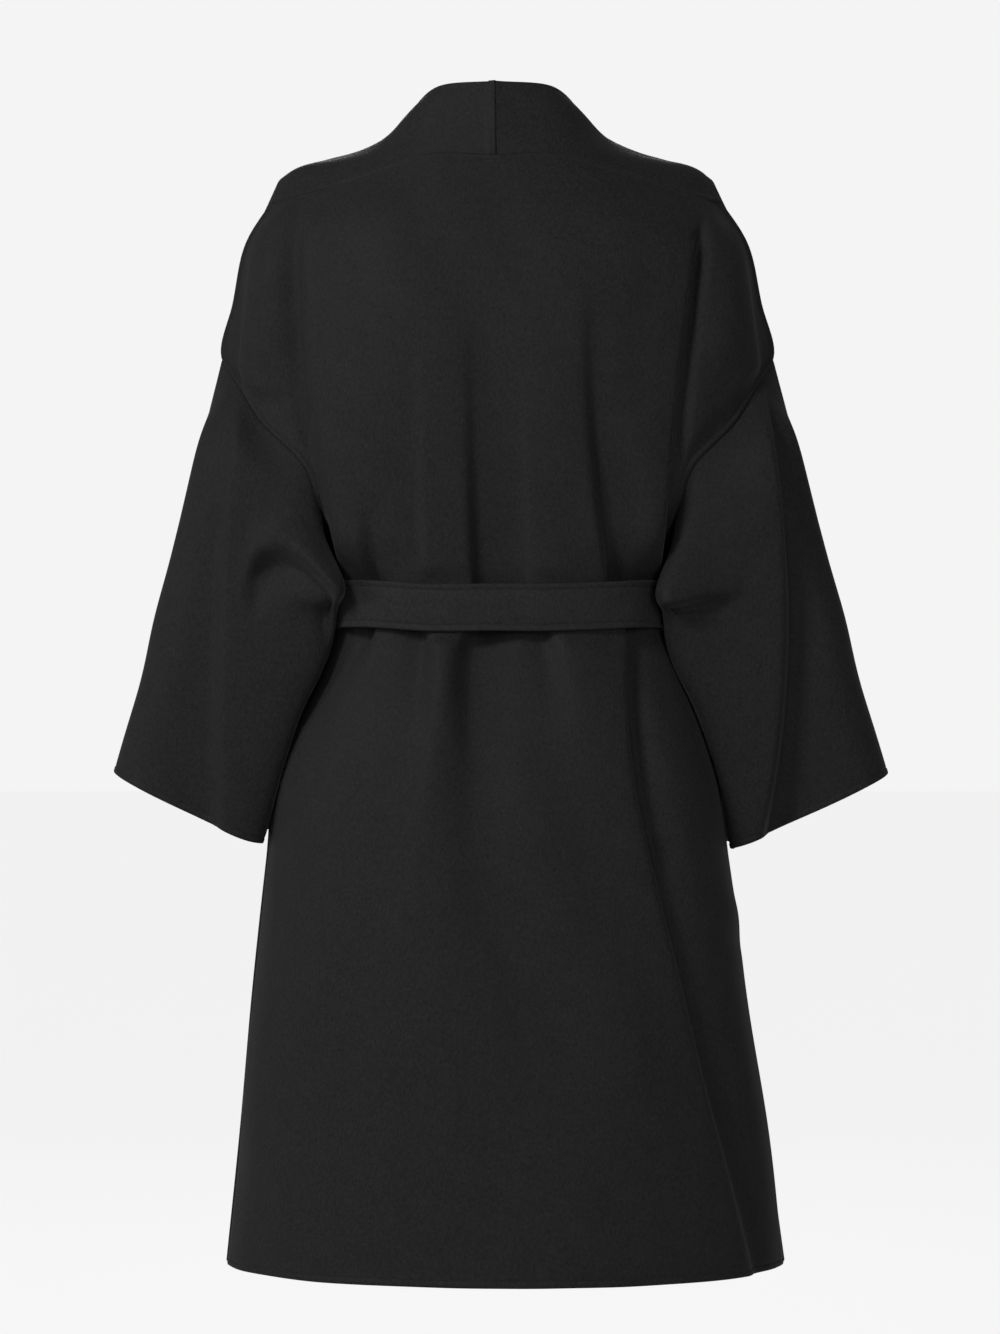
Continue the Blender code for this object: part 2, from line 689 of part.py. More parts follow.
def tube_faces(sections, sides, closed):
    """Triangles of a solid whose sections are loops of points; closed joins the last to the first."""
    faces = []
    spans = sections if closed else sections - 1
    for section in range(spans):
        for side in range(sides):
            a = section * sides + side
            b = section * sides + (side + 1) % sides
            c = ((section + 1) % sections) * sides + (side + 1) % sides
            d = ((section + 1) % sections) * sides + side
            faces.append((a, b, c))
            faces.append((a, c, d))
    if not closed:
        last = (sections - 1) * sides
        for side in range(1, sides - 1):
            faces.append((0, side + 1, side))
            faces.append((last, last + side, last + side + 1))
    return faces


def add_belt(ring, material):
    corners = belt_band(ring)
    points = leaned(corners).transpose(1, 0, 2).reshape(-1, 3)
    add_object("belt", points, tube_faces(len(ring), len(corners), True), material)
    return corners


def add_knot(front_y, material):
    middle = (BELT_TOP + BELT_BOTTOM) / 2.0
    points = []
    for row in KNOT:
        for side in range(KNOT_SIDES):
            across, up = round_share(360.0 * side / KNOT_SIDES, KNOT_SQUARENESS)
            x = KNOT_X + across * row.half_width * MM
            z = middle + up * row.half_height * MM
            points.append((x, front_y - KNOT_GAP - row.out * MM, z))
    points = leaned(np.array(points))
    add_object("belt_knot", points, tube_faces(len(KNOT), KNOT_SIDES, False), material)


def add_belt_end(end, material):
    top = BELT_BOTTOM - (KNOT[2].half_height * MM - (BELT_TOP - BELT_BOTTOM) / 2.0) - KNOT_GAP
    points = []
    for row in range(END_ROWS + 1):
        share = row / END_ROWS
        z = top + (end.z_bottom * MM - top) * share
        x = (end.x_top + (end.x_bottom - end.x_top) * share ** END_SWING) * MM
        clear = END_CLEAR + end.out * MM
        section = []
        for off in (-0.5, 0.5):
            place = np.array([x + off * END_WIDTH])
            face = front_face_y(place, np.array([z]), "left")
            section.append((place[0], face[0] - clear, z))
        near = [(px, py - BELT_THICK, pz) for px, py, pz in section]
        points.extend([section[0], section[1], near[1], near[0]])
    faces = tube_faces(END_ROWS + 1, 4, False)
    add_object(end.name, leaned(np.array(points)), faces, material)


clear_scene()
wool = fabric("black_wool", BLACK_WOOL)
belt_wool = fabric("black_belt_wool", BLACK_BELT)

back_plain, back_grid = back_panel()
key_rows = row_starts(BACK_ROW_STEPS)
top_row, bottom_row = (key_rows[number] for number in ARMHOLE_ROWS)
cloth = [Cloth("back", back_grid, False, 1.0)]
sides = (
    ("left", 1.0, -LAP_LIFT, SLEEVE_LEFT, SLEEVE_FOLDS_LEFT, SLEEVE_SWELLS_LEFT),
    ("right", -1.0, LAP_LIFT, SLEEVE_RIGHT, SLEEVE_FOLDS_RIGHT, SLEEVE_SWELLS_RIGHT),
)
for side_name, sign, lap_lift, sleeve_rows, sleeve_folds, sleeve_swells in sides:
    turned = back_grid if sign > 0.0 else mirrored(back_grid[:, ::-1])
    edge = turned[:, -1]
    armhole_front = front_armhole(edge)
    middle = turned.shape[1] // 2
    outer_seam = np.concatenate([
        edge[:bottom_row:-1],
        armhole_front[::-1],
        edge[top_row - 1::-1],
        turned[0, -2:middle - 1:-1],
    ])
    front_plain = front_panel(outer_seam, side_name)
    front_turned = front_plain if sign > 0.0 else mirrored(front_plain)
    front_grid = lapped(front_turned, -sign, lap_lift, FRONT_FOLDS)
    cloth.append(Cloth("front_" + side_name, front_grid, False, -sign))
    loop = np.concatenate([edge[top_row:bottom_row], armhole_front[:0:-1]])
    tube = sleeve_tube(loop, sleeve_rows, sleeve_folds, sleeve_swells)
    tube = tube if sign > 0.0 else mirrored(tube)
    cloth.append(Cloth("sleeve_" + side_name, tube, True, -sign))

share_normals(cloth)
for cloth_piece in cloth:
    add_cloth(cloth_piece, wool)

belt_corners = add_belt(waist_ring(back_plain, front_plain), belt_wool)
add_knot(belt_corners[1, :, 1].min(), belt_wool)
for belt_end in BELT_ENDS:
    add_belt_end(belt_end, belt_wool)
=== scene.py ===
"""Belted black wool coat in its worn form, hollow, in a pale studio and seen from the back.

Metres, +Z up. The front faces -Y and the wearer's left is +X. The origin is at the nape, level with
the back-neck seam.
"""

from collections import namedtuple
import math

import bmesh
import bpy
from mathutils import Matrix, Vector
import numpy as np


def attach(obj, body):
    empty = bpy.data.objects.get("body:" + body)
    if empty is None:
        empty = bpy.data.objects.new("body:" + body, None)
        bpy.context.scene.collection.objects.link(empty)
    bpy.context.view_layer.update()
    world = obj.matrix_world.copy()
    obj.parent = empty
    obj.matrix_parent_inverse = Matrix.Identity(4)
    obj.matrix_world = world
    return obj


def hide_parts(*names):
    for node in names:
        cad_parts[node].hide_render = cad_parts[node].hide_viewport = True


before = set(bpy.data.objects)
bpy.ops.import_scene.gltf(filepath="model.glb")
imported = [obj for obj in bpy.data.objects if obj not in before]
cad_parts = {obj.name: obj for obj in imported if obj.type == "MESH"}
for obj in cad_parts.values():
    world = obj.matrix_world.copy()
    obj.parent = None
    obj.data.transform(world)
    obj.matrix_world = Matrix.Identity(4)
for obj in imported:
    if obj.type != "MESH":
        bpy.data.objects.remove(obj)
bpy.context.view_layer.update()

# The back
# One piece of heavy double-faced wool from the shoulder and neck seam to the hem, dropped over the
# upper arms. Its edges are turned in, laid over the next piece and felled by hand, so each seam shows
# as a flat welt on the back's side. The belt gathers it into uneven pleats.
MM = 0.001
WALL = 2.8 * MM
SEAM_LAP = 0.1 * MM
EDGE_RADIUS = 1.2 * MM
# Lengths below this count as nothing
TINY = 1e-9
# Seam points of two pieces are the same point where they agree to this many steps a metre
SEAM_STEPS = 1e7

# Distances from a seam or a free edge at which the mesh has a line of its own, mm
EDGE_LINES = (0.4, 1.2, 2.6, 4.4, 5.4, 6.2, 7.0, 9.0)
ROW_SPACING = 5.0 * MM
LINE_SPACING = 3.7 * MM

# Welt of a felled seam, with the row of sunk stitches that holds it down
WELT_WIDTH = 6.0 * MM
WELT_RISE = 1.8 * MM
WELT_SLOPE = 1.0 * MM
TURNED_RISE = 0.5 * MM
STITCH_SINK = 0.35 * MM
STITCH_REACH = 0.7 * MM

# The coat hangs a little askew: sideways shift at the collar and at the hem
LEAN_TOP = 4.0 * MM
LEAN_HEM = -5.0 * MM

# Shoulder and back-neck seam from the middle of the back to the shoulder point: x, y and z, mm
SHOULDER_SEAM = [
    (0, 75, -4),
    (67, 67, -2),
    (112, 56, -13),
    (150, 46, -25),
    (178, 38, -32),
    (201, 29, -37),
    (222, 12, -41),
]

# Upper back, a row from the middle of the back to the panel's edge, mm. The edge is the shoulder
# seam over the arm down to the dropped armhole, then the back of the armhole to the underarm.
BackRow = namedtuple(
    "BackRow",
    "middle_y middle_z ridge_x ridge_y valley_x valley_y arm_x arm_y edge_x edge_y edge_z",
)
UPPER_BACK = [
    BackRow(98, -70, 188, 68, 197, 58, 227, 46, 252, -5, -88),
    BackRow(112, -125, 189, 78, 198, 66, 232, 53, 264, -10, -143),
    BackRow(120, -178, 184, 84, 193, 71, 228, 59, 276, -12, -197),
    BackRow(122, -210, 181, 87, 190, 75, 216, 64, 258, 27, -226),
    BackRow(123, -247, 177, 90, 186, 79, 206, 70, 236, 52, -262),
    BackRow(122, -297, 170, 94, 178, 81, 184, 77, 190, 74, -311),
    BackRow(119, -341, 162, 97, 169, 83, 173, 72, 176, 60, -352),
    BackRow(117, -386, 153, 95, 164, 76, 168, 42, 169, 0, -392),
]
BLADE_SHARES = (0.40, 0.69)
BLADE_ROUND = 3.2
ARMHOLE_ROWS = (3, 8)

# Waist and skirt sections, mm; square is 2 for an ellipse and more for a squarer section
Section = namedtuple("Section", "z left right back front square")
SKIRT = [
    Section(-418, 166, 166, 117, 120, 2.6),
    Section(-476, 166, 166, 117, 120, 2.6),
    Section(-512, 177, 176, 127, 130, 2.5),
    Section(-560, 201, 196, 138, 142, 2.45),
    Section(-620, 224, 215, 148, 153, 2.4),
    Section(-700, 234, 225, 157, 162, 2.3),
    Section(-830, 249, 240, 169, 174, 2.2),
    Section(-965, 262, 260, 179, 183, 2.1),
    Section(-1101, 277, 278, 188, 192, 2.05),
]
# Angle of each line of the net, from the side seam to the middle of the back
BACK_ANGLES = (0.0, 10.0, 22.0, 36.0, 58.0, 74.0, 90.0)

# Folds. Each runs down a line from one height to another; its depth, in mm, is out (+) or in (-), and
# its two flanks have their own widths, towards the wearer's right and left. A pleat's fold has one
# steep flank and one long one.
Fold = namedtuple(
    "Fold",
    "z_from z_to x_from x_middle x_to right_from left_from right_to left_to depth_from depth_to",
)
# Shares of a fold's length over which it rises and dies away, and its narrowest flank, mm
FOLD_RISE = (-0.10, 0.12)
FOLD_FALL = (0.94, 1.10)
FOLD_REACH = (-0.2, 1.2)
NARROWEST_FLANK = 3.0
PLEATS_ABOVE_BELT = [
    Fold(-170, -450, 21, 21, 20, 44, 10, 48, 5, -2, -19),
    Fold(-190, -450, 72, 72, 70, 46, 7, 44, 5, 1, 8),
    Fold(-230, -450, -31, -31, -32, 56, 9, 60, 6, 1, 8),
    Fold(-150, -450, -95, -99, -120, 26, 9, 22, 6, -3, -23),
    Fold(-350, -450, 128, 128, 127, 11, 6, 12, 5, -2, -15),
    Fold(-90, -260, -155, -140, -130, 24, 24, 24, 24, 0, -4),
]
PLEATS_BELOW_BELT = [
    Fold(-448, -600, 18, 37, 20, 36, 6, 34, 12, -16, 0),
    Fold(-448, -800, 18, 34, 14, 36, 8, 50, 36, -6, 0),
    Fold(-500, -860, 30, 22, 12, 28, 9, 40, 26, -8, 0),
    Fold(-720, -1060, 8, -40, -78, 34, 26, 50, 44, -6, -1),
    Fold(-448, -640, 62, 58, 68, 24, 6, 26, 10, 9, 0),
    Fold(-500, -900, 58, 74, 92, 34, 12, 48, 40, 9, 1),
    Fold(-448, -580, 76, 78, 86, 5, 20, 8, 28, -15, 0),
    Fold(-450, -520, -8, -10, -14, 30, 24, 24, 24, -2, 0),
    Fold(-455, -700, -58, -80, -112, 40, 10, 44, 28, 7, 1),
    Fold(-448, -570, -40, -50, -70, 7, 18, 12, 26, -12, 0),
    Fold(-448, -700, -133, -131, -152, 13, 5, 17, 6, -15, -13),
    Fold(-700, -1101, -151, -199, -248, 17, 6, 24, 8, -13, -10),
    Fold(-470, -700, -122, -121, -142, 7, 24, 9, 32, 4, 5),
    Fold(-700, -1101, -141, -188, -236, 9, 32, 12, 36, 5, 3),
    Fold(-448, -560, 126, 148, 186, 6, 14, 12, 22, -18, -3),
    Fold(-490, -640, 142, 172, 196, 16, 12, 22, 20, 5, 0),
]
SKIRT_SWELLS = [
    Fold(-480, -760, -168, -178, -210, 24, 26, 34, 34, 5, 8),
    Fold(-760, -1101, -210, -230, -270, 34, 34, 36, 36, 8, 5),
    Fold(-700, -1101, -90, -110, -130, 60, 60, 80, 80, 0, 7),
    Fold(-800, -1101, 110, 120, 130, 60, 60, 70, 70, 0, -4),
]
ARM_CREASES = [
    Fold(-60, -420, 193, 192, 162, 5, 14, 4, 10, -3, -9),
    Fold(-70, -420, -204, -181, -166, 5, 4, 5, 4, -10, -14),
    Fold(-80, -400, -212, -189, -173, 30, 5, 24, 4, 6, 8),
    Fold(-95, -235, 239, 246, 250, 30, 5, 30, 5, 2, 11),
    Fold(-95, -260, -243, -251, -262, 5, 30, 5, 30, 2, 11),
]
BACK_FOLDS = PLEATS_ABOVE_BELT + PLEATS_BELOW_BELT + SKIRT_SWELLS + ARM_CREASES

# Height over which the belt presses the cloth flat, and over which the cloth swells out again
BELT_TOP = -424.0 * MM
BELT_BOTTOM = -470.0 * MM
BELT_PRESS = 16.0 * MM

# Slow unevenness of hung wool: wave lengths across and down, and depth, mm
Wave = namedtuple("Wave", "across down phase depth")
CLOTH_WAVES = [
    Wave(173, 410, 0.4, 0.9),
    Wave(-131, 290, 2.1, 0.7),
    Wave(97, -230, 4.0, 0.45),
    Wave(-71, 150, 1.2, 0.25),
]


def smooth_step(low, high, value):
    """Smooth rise from nothing at the low value to one at the high value."""
    share = np.clip((value - low) / (high - low), 0.0, 1.0)
    return share * share * (3.0 - 2.0 * share)


def mix(first, last, share):
    """Value at a share of the way from the first to the last."""
    return first + (last - first) * share


def unit(vectors):
    """The same directions with length one."""
    return vectors / np.maximum(np.linalg.norm(vectors, axis=-1, keepdims=True), TINY)


def smooth_through(knots, values, samples):
    """Smooth curve through the values at the knots, read at the samples (along the first axis)."""
    knots, values, samples = (np.asarray(numbers, float) for numbers in (knots, values, samples))
    along = (-1,) + (1,) * (values.ndim - 1)
    gaps = np.diff(knots)
    slopes = np.diff(values, axis=0) / gaps.reshape(along)
    tangents = np.empty_like(values)
    tangents[0] = slopes[0]
    tangents[-1] = slopes[-1]
    before = gaps[:-1].reshape(along)
    after = gaps[1:].reshape(along)
    tangents[1:-1] = (slopes[:-1] * after + slopes[1:] * before) / (before + after)
    index = np.clip(np.searchsorted(knots, samples, side="right") - 1, 0, len(gaps) - 1)
    width = gaps[index].reshape(along)
    t = (samples - knots[index]).reshape(along) / width
    start = (1.0 + 2.0 * t) * (1.0 - t) ** 2 * values[index]
    end = t * t * (3.0 - 2.0 * t) * values[index + 1]
    lead = t * (1.0 - t) ** 2 * width * tangents[index]
    trail = t * t * (t - 1.0) * width * tangents[index + 1]
    return start + end + lead + trail


def net_knots(net, axis):
    """Running mean length of the net's steps along one axis."""
    steps = np.linalg.norm(np.diff(net, axis=axis), axis=-1)
    means = steps.mean(axis=1 - axis)
    return np.concatenate([[0.0], np.cumsum(means)])


def cut_shares(length, spacing, edge):
    """Shares at which one stretch is cut: even, or with close lines at an edge at its start or end."""
    if not edge:
        count = max(1, round(length / spacing))
        return np.arange(count) / count
    close = np.array(EDGE_LINES) * MM
    count = max(1, round((length - close[-1]) / spacing))
    rest = np.linspace(close[-1], length, count, endpoint=False)
    places = np.concatenate([[0.0], close[:-1], rest]) / length
    if edge == "start":
        return places
    return turned_shares(places)


def turned_shares(places):
    """The same cuts, counted from the other end of the stretch."""
    return np.concatenate([[0.0], 1.0 - places[:0:-1]])


def net_cuts(knots, spacing, edged=True):
    """Cuts of all the stretches between knots, with close lines at both ends where those are edges."""
    lengths = np.diff(knots)
    edges = [""] * len(lengths)
    if edged:
        edges[0] = "start"
        edges[-1] = "end"
    return [cut_shares(length, spacing, edge) for length, edge in zip(lengths, edges)]


def stepped(knots, cuts):
    """Places of all cuts along the knots."""
    parts = [mix(a, b, shares) for a, b, shares in zip(knots[:-1], knots[1:], cuts)]
    return np.concatenate(parts + [knots[-1:]])


def cut_starts(cuts):
    """Index of each knot among all the cuts."""
    return np.concatenate([[0], np.cumsum([len(shares) for shares in cuts])])


def net_surface(net, row_cuts, line_cuts):
    """Smooth grid through a net of points."""
    row_knots = net_knots(net, 0)
    line_knots = net_knots(net, 1)
    rows = smooth_through(row_knots, net, stepped(row_knots, row_cuts))
    lines = smooth_through(line_knots, rows.transpose(1, 0, 2), stepped(line_knots, line_cuts))
    return lines.transpose(1, 0, 2)


def round_share(angle, power):
    """Rounded-square section: shares of the half width and of the depth at an angle."""
    turn = math.radians(angle)
    parts = (math.cos(turn), math.sin(turn))
    return [math.copysign(abs(part) ** (2.0 / power), part) for part in parts]


def section_row(section, side, angles, depth):
    """Key points of a waist or skirt section at the angles given, turned to the left."""
    points = []
    for angle in angles:
        across, deep = round_share(angle, section.square)
        points.append((across * getattr(section, side), deep * depth, section.z))
    return points


def back_half_net(side):
    """Key points of half of the back, turned to the left, from the side edge to the middle."""
    rows = [SHOULDER_SEAM[::-1]]
    for row in UPPER_BACK:
        places = [(row.edge_x, row.edge_y), (row.arm_x, row.arm_y)]
        places += [(row.valley_x, row.valley_y), (row.ridge_x, row.ridge_y)]
        for share in reversed(BLADE_SHARES):
            places.append((share * row.ridge_x, mix(row.middle_y, row.ridge_y, share ** BLADE_ROUND)))
        places.append((0.0, row.middle_y))
        rows.append([(x, y, mix(row.middle_z, row.edge_z, (x / row.edge_x) ** 2)) for x, y in places])
    rows += [section_row(section, side, BACK_ANGLES, section.back) for section in SKIRT]
    return np.array(rows, float) * MM


def mirrored(points):
    """The same points on the other side of the coat."""
    return points * np.array([-1.0, 1.0, 1.0])


def fold_push(x, z, folds):
    """Sum of the folds' depths at places given in metres."""
    push = np.zeros_like(x)
    for fold in folds:
        share = np.clip((z / MM - fold.z_from) / (fold.z_to - fold.z_from), *FOLD_REACH)
        bow = fold.x_middle - (fold.x_from + fold.x_to) / 2.0
        off = x / MM - (mix(fold.x_from, fold.x_to, share) + bow * (4.0 * share * (1.0 - share)))
        right = mix(fold.right_from, fold.right_to, share)
        left = mix(fold.left_from, fold.left_to, share)
        width = np.maximum(np.where(off < 0.0, right, left), NARROWEST_FLANK)
        depth = mix(fold.depth_from, fold.depth_to, np.clip(share, 0.0, 1.0))
        ends = smooth_step(*FOLD_RISE, share) * (1.0 - smooth_step(*FOLD_FALL, share))
        push += depth * MM * np.exp(-(off / width) ** 2) * ends
    return push


def cloth_waves(x, z):
    """Slow unevenness of the hung cloth at places given in metres."""
    push = np.zeros_like(x)
    for wave in CLOTH_WAVES:
        turns = x / (wave.across * MM) + z / (wave.down * MM)
        push += wave.depth * MM * np.sin(2.0 * math.pi * turns + wave.phase)
    return push


def under_belt(push, z):
    """The belt presses flat whatever stands out under it."""
    above = 1.0 - smooth_step(BELT_TOP, BELT_TOP + BELT_PRESS, z)
    below = smooth_step(BELT_BOTTOM - BELT_PRESS, BELT_BOTTOM, z)
    return push - np.maximum(push, 0.0) * above * below


def grid_normals(grid, wrap, facing):
    """Unit normals at the points of a grid; wrap joins its last line to its first."""
    count = grid.shape[1]
    this = np.arange(count if wrap else count - 1)
    following = (this + 1) % count
    a = grid[:-1][:, this]
    b = grid[:-1][:, following]
    c = grid[1:][:, following]
    d = grid[1:][:, this]
    face = np.cross(c - a, d - b)
    total = np.zeros_like(grid)
    for rows in (slice(None, -1), slice(1, None)):
        for lines in (this, following):
            np.add.at(total, (rows, lines), face)
    return facing * unit(total)


def push_level(grid, normals, amount):
    """Move points out level with the ground, along their normals."""
    return grid + unit(normals * np.array([1.0, 1.0, 0.0])) * amount[..., None]


def line_distances(grid):
    """Distances of each point from the first and the last line of its grid, along its row."""
    steps = np.linalg.norm(np.diff(grid, axis=1), axis=-1)
    run = np.concatenate([np.zeros((len(grid), 1)), np.cumsum(steps, axis=1)], axis=1)
    return run, run[:, -1:] - run


def row_distances(grid):
    """Distances of each point from the first and the last row of its grid, along its line."""
    from_first, from_last = line_distances(grid.transpose(1, 0, 2))
    return from_first.T, from_last.T


def welt_height(distance, width, rise):
    """Height of a felled welt or turned edge over the cloth at a distance from its seam or edge."""
    flat = 1.0 - smooth_step(width - WELT_SLOPE, width, distance)
    sink = np.exp(-((distance - width) / STITCH_REACH) ** 2)
    return rise * flat - STITCH_SINK * sink


def edge_round(distance, radius):
    """How far a rounded edge lies below the cloth's face."""
    inside = np.clip(1.0 - distance / radius, 0.0, 1.0)
    return radius * (1.0 - np.sqrt(1.0 - inside ** 2))


def leaned(points):
    """The whole coat sheared a little sideways between collar and hem."""
    share = points[..., 2] / (SKIRT[-1].z * MM)
    moved = points.copy()
    moved[..., 0] += mix(LEAN_TOP, LEAN_HEM, share)
    return moved


# Direction out of the cloth at each seam point sewn so far; the next piece there takes it over
seam_directions = {}


def match_seams(grid, normals, wrap):
    """Let a piece's edge take over the directions of the pieces sewn there before."""
    rows, lines = grid.shape[:2]
    places = [(row, line) for row in (0, rows - 1) for line in range(lines)]
    if not wrap:
        places += [(row, line) for row in range(1, rows - 1) for line in (0, lines - 1)]
    for place in places:
        key = tuple(np.round(grid[place] * SEAM_STEPS).astype(np.int64))
        normals[place] = seam_directions.setdefault(key, normals[place].copy())


def wall_points(grid, normals, wrap, relief, from_edge):
    """Outer and inner grids of the cloth, let a hair over each seam and rounded at the edges."""
    outset = np.zeros_like(grid)
    edges = [(np.s_[0], np.s_[1]), (np.s_[-1], np.s_[-2])]
    if not wrap:
        edges += [(np.s_[:, 0], np.s_[:, 1]), (np.s_[:, -1], np.s_[:, -2])]
    for edge, inside in edges:
        line = grid[edge]
        tangent = np.roll(line, -1, 0) - np.roll(line, 1, 0) if wrap else np.gradient(line, axis=0)
        side = unit(np.cross(normals[edge], tangent))
        inward = np.sum((grid[inside] - line) * side, -1, keepdims=True)
        outset[edge] -= SEAM_LAP * np.sign(inward) * side
    rounding = edge_round(from_edge, EDGE_RADIUS)
    outer = grid + outset + normals * (relief - rounding)[..., None]
    inner = grid + outset - normals * (WALL - rounding)[..., None]
    return outer, inner


def grid_faces(numbers):
    """Four-sided faces of a grid of point numbers."""
    corners = (numbers[:-1, :-1], numbers[:-1, 1:], numbers[1:, 1:], numbers[1:, :-1])
    return np.stack(corners, axis=-1).reshape(-1, 4)


def wall_faces(rows, lines, wrap, facing):
    """Faces of a closed wall whose outer and inner grids follow each other."""
    numbers = np.arange(2 * rows * lines).reshape(2, rows, lines)
    if wrap:
        numbers = np.concatenate([numbers, numbers[..., :1]], axis=-1)
    sheets = [numbers[0], numbers[1, ::-1], numbers[:, 0].T, numbers[:, -1].T[::-1]]
    if not wrap:
        sheets += [numbers[..., 0].T[::-1], numbers[..., -1].T]
    faces = np.concatenate([grid_faces(sheet) for sheet in sheets])
    return faces.tolist() if facing > 0.0 else faces[:, ::-1].tolist()


def add_object(name, data):
    item = bpy.data.objects.new(name, data)
    bpy.context.scene.collection.objects.link(item)
    return item


def add_mesh(name, points, faces, material):
    """Smooth mesh whose faces all look outwards."""
    mesh = bpy.data.meshes.new(name)
    mesh.from_pydata([tuple(point) for point in points], [], faces)
    mesh.validate()
    shape = bmesh.new()
    shape.from_mesh(mesh)
    bmesh.ops.recalc_face_normals(shape, faces=shape.faces)
    shape.to_mesh(mesh)
    shape.free()
    mesh.shade_smooth()
    mesh.materials.append(material)
    return add_object(name, mesh)


def make_piece(node, points, faces, material):
    """Piece of the coat that rides on its one body in place of the plain solid."""
    item = add_mesh("coat_" + node, points, faces, material)
    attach(item, "root")
    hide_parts(node)
    return item


def sew(node, grid, wrap, facing, relief, from_edge):
    """Cut piece made from its face points, the height of its welts and its distances from edges."""
    grid = leaned(grid)
    normals = grid_normals(grid, wrap, facing)
    match_seams(grid, normals, wrap)
    walls = wall_points(grid, normals, wrap, relief, from_edge)
    faces = wall_faces(*grid.shape[:2], wrap, facing)
    return make_piece(node, np.stack(walls).reshape(-1, 3), faces, coat_wool)


def back_panel():
    """Back grid before and after folding, rows from the seam to the hem, lines from right to left."""
    right = mirrored(back_half_net("right"))
    left = back_half_net("left")
    net = np.concatenate([right, left[:, -2::-1]], axis=1)
    plain = net_surface(net, back_row_cuts, back_line_cuts)
    across = np.minimum(*line_distances(plain))
    down = row_distances(plain)[0]
    x = plain[..., 0]
    z = plain[..., 2]
    push = under_belt(fold_push(x, z, BACK_FOLDS) + cloth_waves(x, z), z)
    push *= smooth_step(0.0, SEAM_FADE, across) * smooth_step(0.0, SEAM_FADE, down)
    normals = grid_normals(plain, False, 1.0)
    return plain, push_level(plain, normals, push)


def set_inputs(node, values):
    """Set constant values on a node's sockets."""
    for name, value in values.items():
        node.inputs[name].default_value = value


def nap_group():
    """Brushed wool: mottled colour, and the height of the short nap, from the cloth's own place."""
    group = bpy.data.node_groups.new("brushed wool", "ShaderNodeTree")
    for side, names in NAP_SOCKETS.items():
        for name in names:
            kind = "NodeSocketColor" if name == "Colour" else "NodeSocketFloat"
            group.interface.new_socket(name, in_out=side, socket_type=kind)
    nodes = group.nodes
    link = group.links.new
    given = nodes.new("NodeGroupInput")
    result = nodes.new("NodeGroupOutput")
    place = nodes.new("ShaderNodeTexCoord").outputs["Object"]

    def noise(scale, detail, stretch=(1.0, 1.0, 1.0)):
        mapping = nodes.new("ShaderNodeMapping")
        set_inputs(mapping, {"Scale": stretch})
        link(place, mapping.inputs["Vector"])
        texture = nodes.new("ShaderNodeTexNoise")
        set_inputs(texture, {"Scale": scale, "Detail": detail})
        link(mapping.outputs["Vector"], texture.inputs["Vector"])
        return texture.outputs["Fac"]

    def times_plus(first, second, added):
        node = nodes.new("ShaderNodeMath")
        node.operation = "MULTIPLY_ADD"
        for socket, value in zip(node.inputs, (first, second, added)):
            if isinstance(value, float):
                socket.default_value = value
            else:
                link(value, socket)
        return node.outputs["Value"]

    def weighted(patterns, shares, total):
        for pattern, share in zip(patterns, shares):
            total = times_plus(pattern, share, total)
        return total

    clouds = noise(CLOUD_SCALE, CLOUD_DETAIL)
    tufts = noise(TUFT_SCALE, NAP_DETAIL, TUFT_STRETCH)
    fibres = noise(FIBRE_SCALE, NAP_DETAIL, FIBRE_STRETCH)
    spread = weighted((clouds, tufts, fibres), TONE_SHARES, -sum(TONE_SHARES) / 2.0)
    factor = times_plus(spread, given.outputs["Mottling"], 1.0)
    tint = nodes.new("ShaderNodeVectorMath")
    tint.operation = "SCALE"
    link(given.outputs["Colour"], tint.inputs[0])
    link(factor, tint.inputs["Scale"])
    link(tint.outputs["Vector"], result.inputs["Colour"])
    link(times_plus(tufts, ROUGHNESS_SPREAD, LEAST_ROUGHNESS), result.inputs["Roughness"])
    link(weighted((tufts, fibres), NAP_SHARES, 0.0), result.inputs["Height"])
    return group


def wool(name, colour, mottling):
    """Material of brushed wool with the nap's soft sheen."""
    material = bpy.data.materials.new(name)
    material.use_nodes = True
    nodes = material.node_tree.nodes
    link = material.node_tree.links.new
    shader = nodes["Principled BSDF"]
    set_inputs(shader, WOOL_SHADER)
    group = nodes.new("ShaderNodeGroup")
    group.node_tree = brushed_wool
    set_inputs(group, {"Colour": colour, "Mottling": mottling})
    bump = nodes.new("ShaderNodeBump")
    set_inputs(bump, {"Strength": NAP_STRENGTH, "Distance": NAP_HEIGHT})
    link(group.outputs["Colour"], shader.inputs["Base Color"])
    link(group.outputs["Roughness"], shader.inputs["Roughness"])
    link(group.outputs["Height"], bump.inputs["Height"])
    link(bump.outputs["Normal"], shader.inputs["Normal"])
    return material


NAP_SOCKETS = {"INPUT": ("Colour", "Mottling"), "OUTPUT": ("Colour", "Roughness", "Height")}
# Scales of the wool's pattern, per metre: clouds of about 2 cm, tufts of 3 mm, fibres of 1 mm
CLOUD_SCALE = 46.0
CLOUD_DETAIL = 3.0
TUFT_SCALE = 380.0
TUFT_STRETCH = (1.0, 1.0, 0.7)
FIBRE_SCALE = 820.0
FIBRE_STRETCH = (1.0, 1.0, 0.45)
NAP_DETAIL = 2.0
# Weights of clouds, tufts and fibres in the tone, and of tufts and fibres in the nap's height
TONE_SHARES = (0.3, 1.2, 1.3)
NAP_SHARES = (0.6, 0.4)
NAP_HEIGHT = 0.7 * MM
NAP_STRENGTH = 0.6
LEAST_ROUGHNESS = 0.64
ROUGHNESS_SPREAD = 0.12
WOOL_SHADER = {
    "Specular IOR Level": 0.09,
    "Sheen Weight": 0.04,
    "Sheen Roughness": 0.45,
    "Sheen Tint": (0.95, 0.95, 0.95, 1.0),
}
BLACK_WOOL = (0.0092, 0.0092, 0.0092, 1.0)
COAT_MOTTLING = 0.95

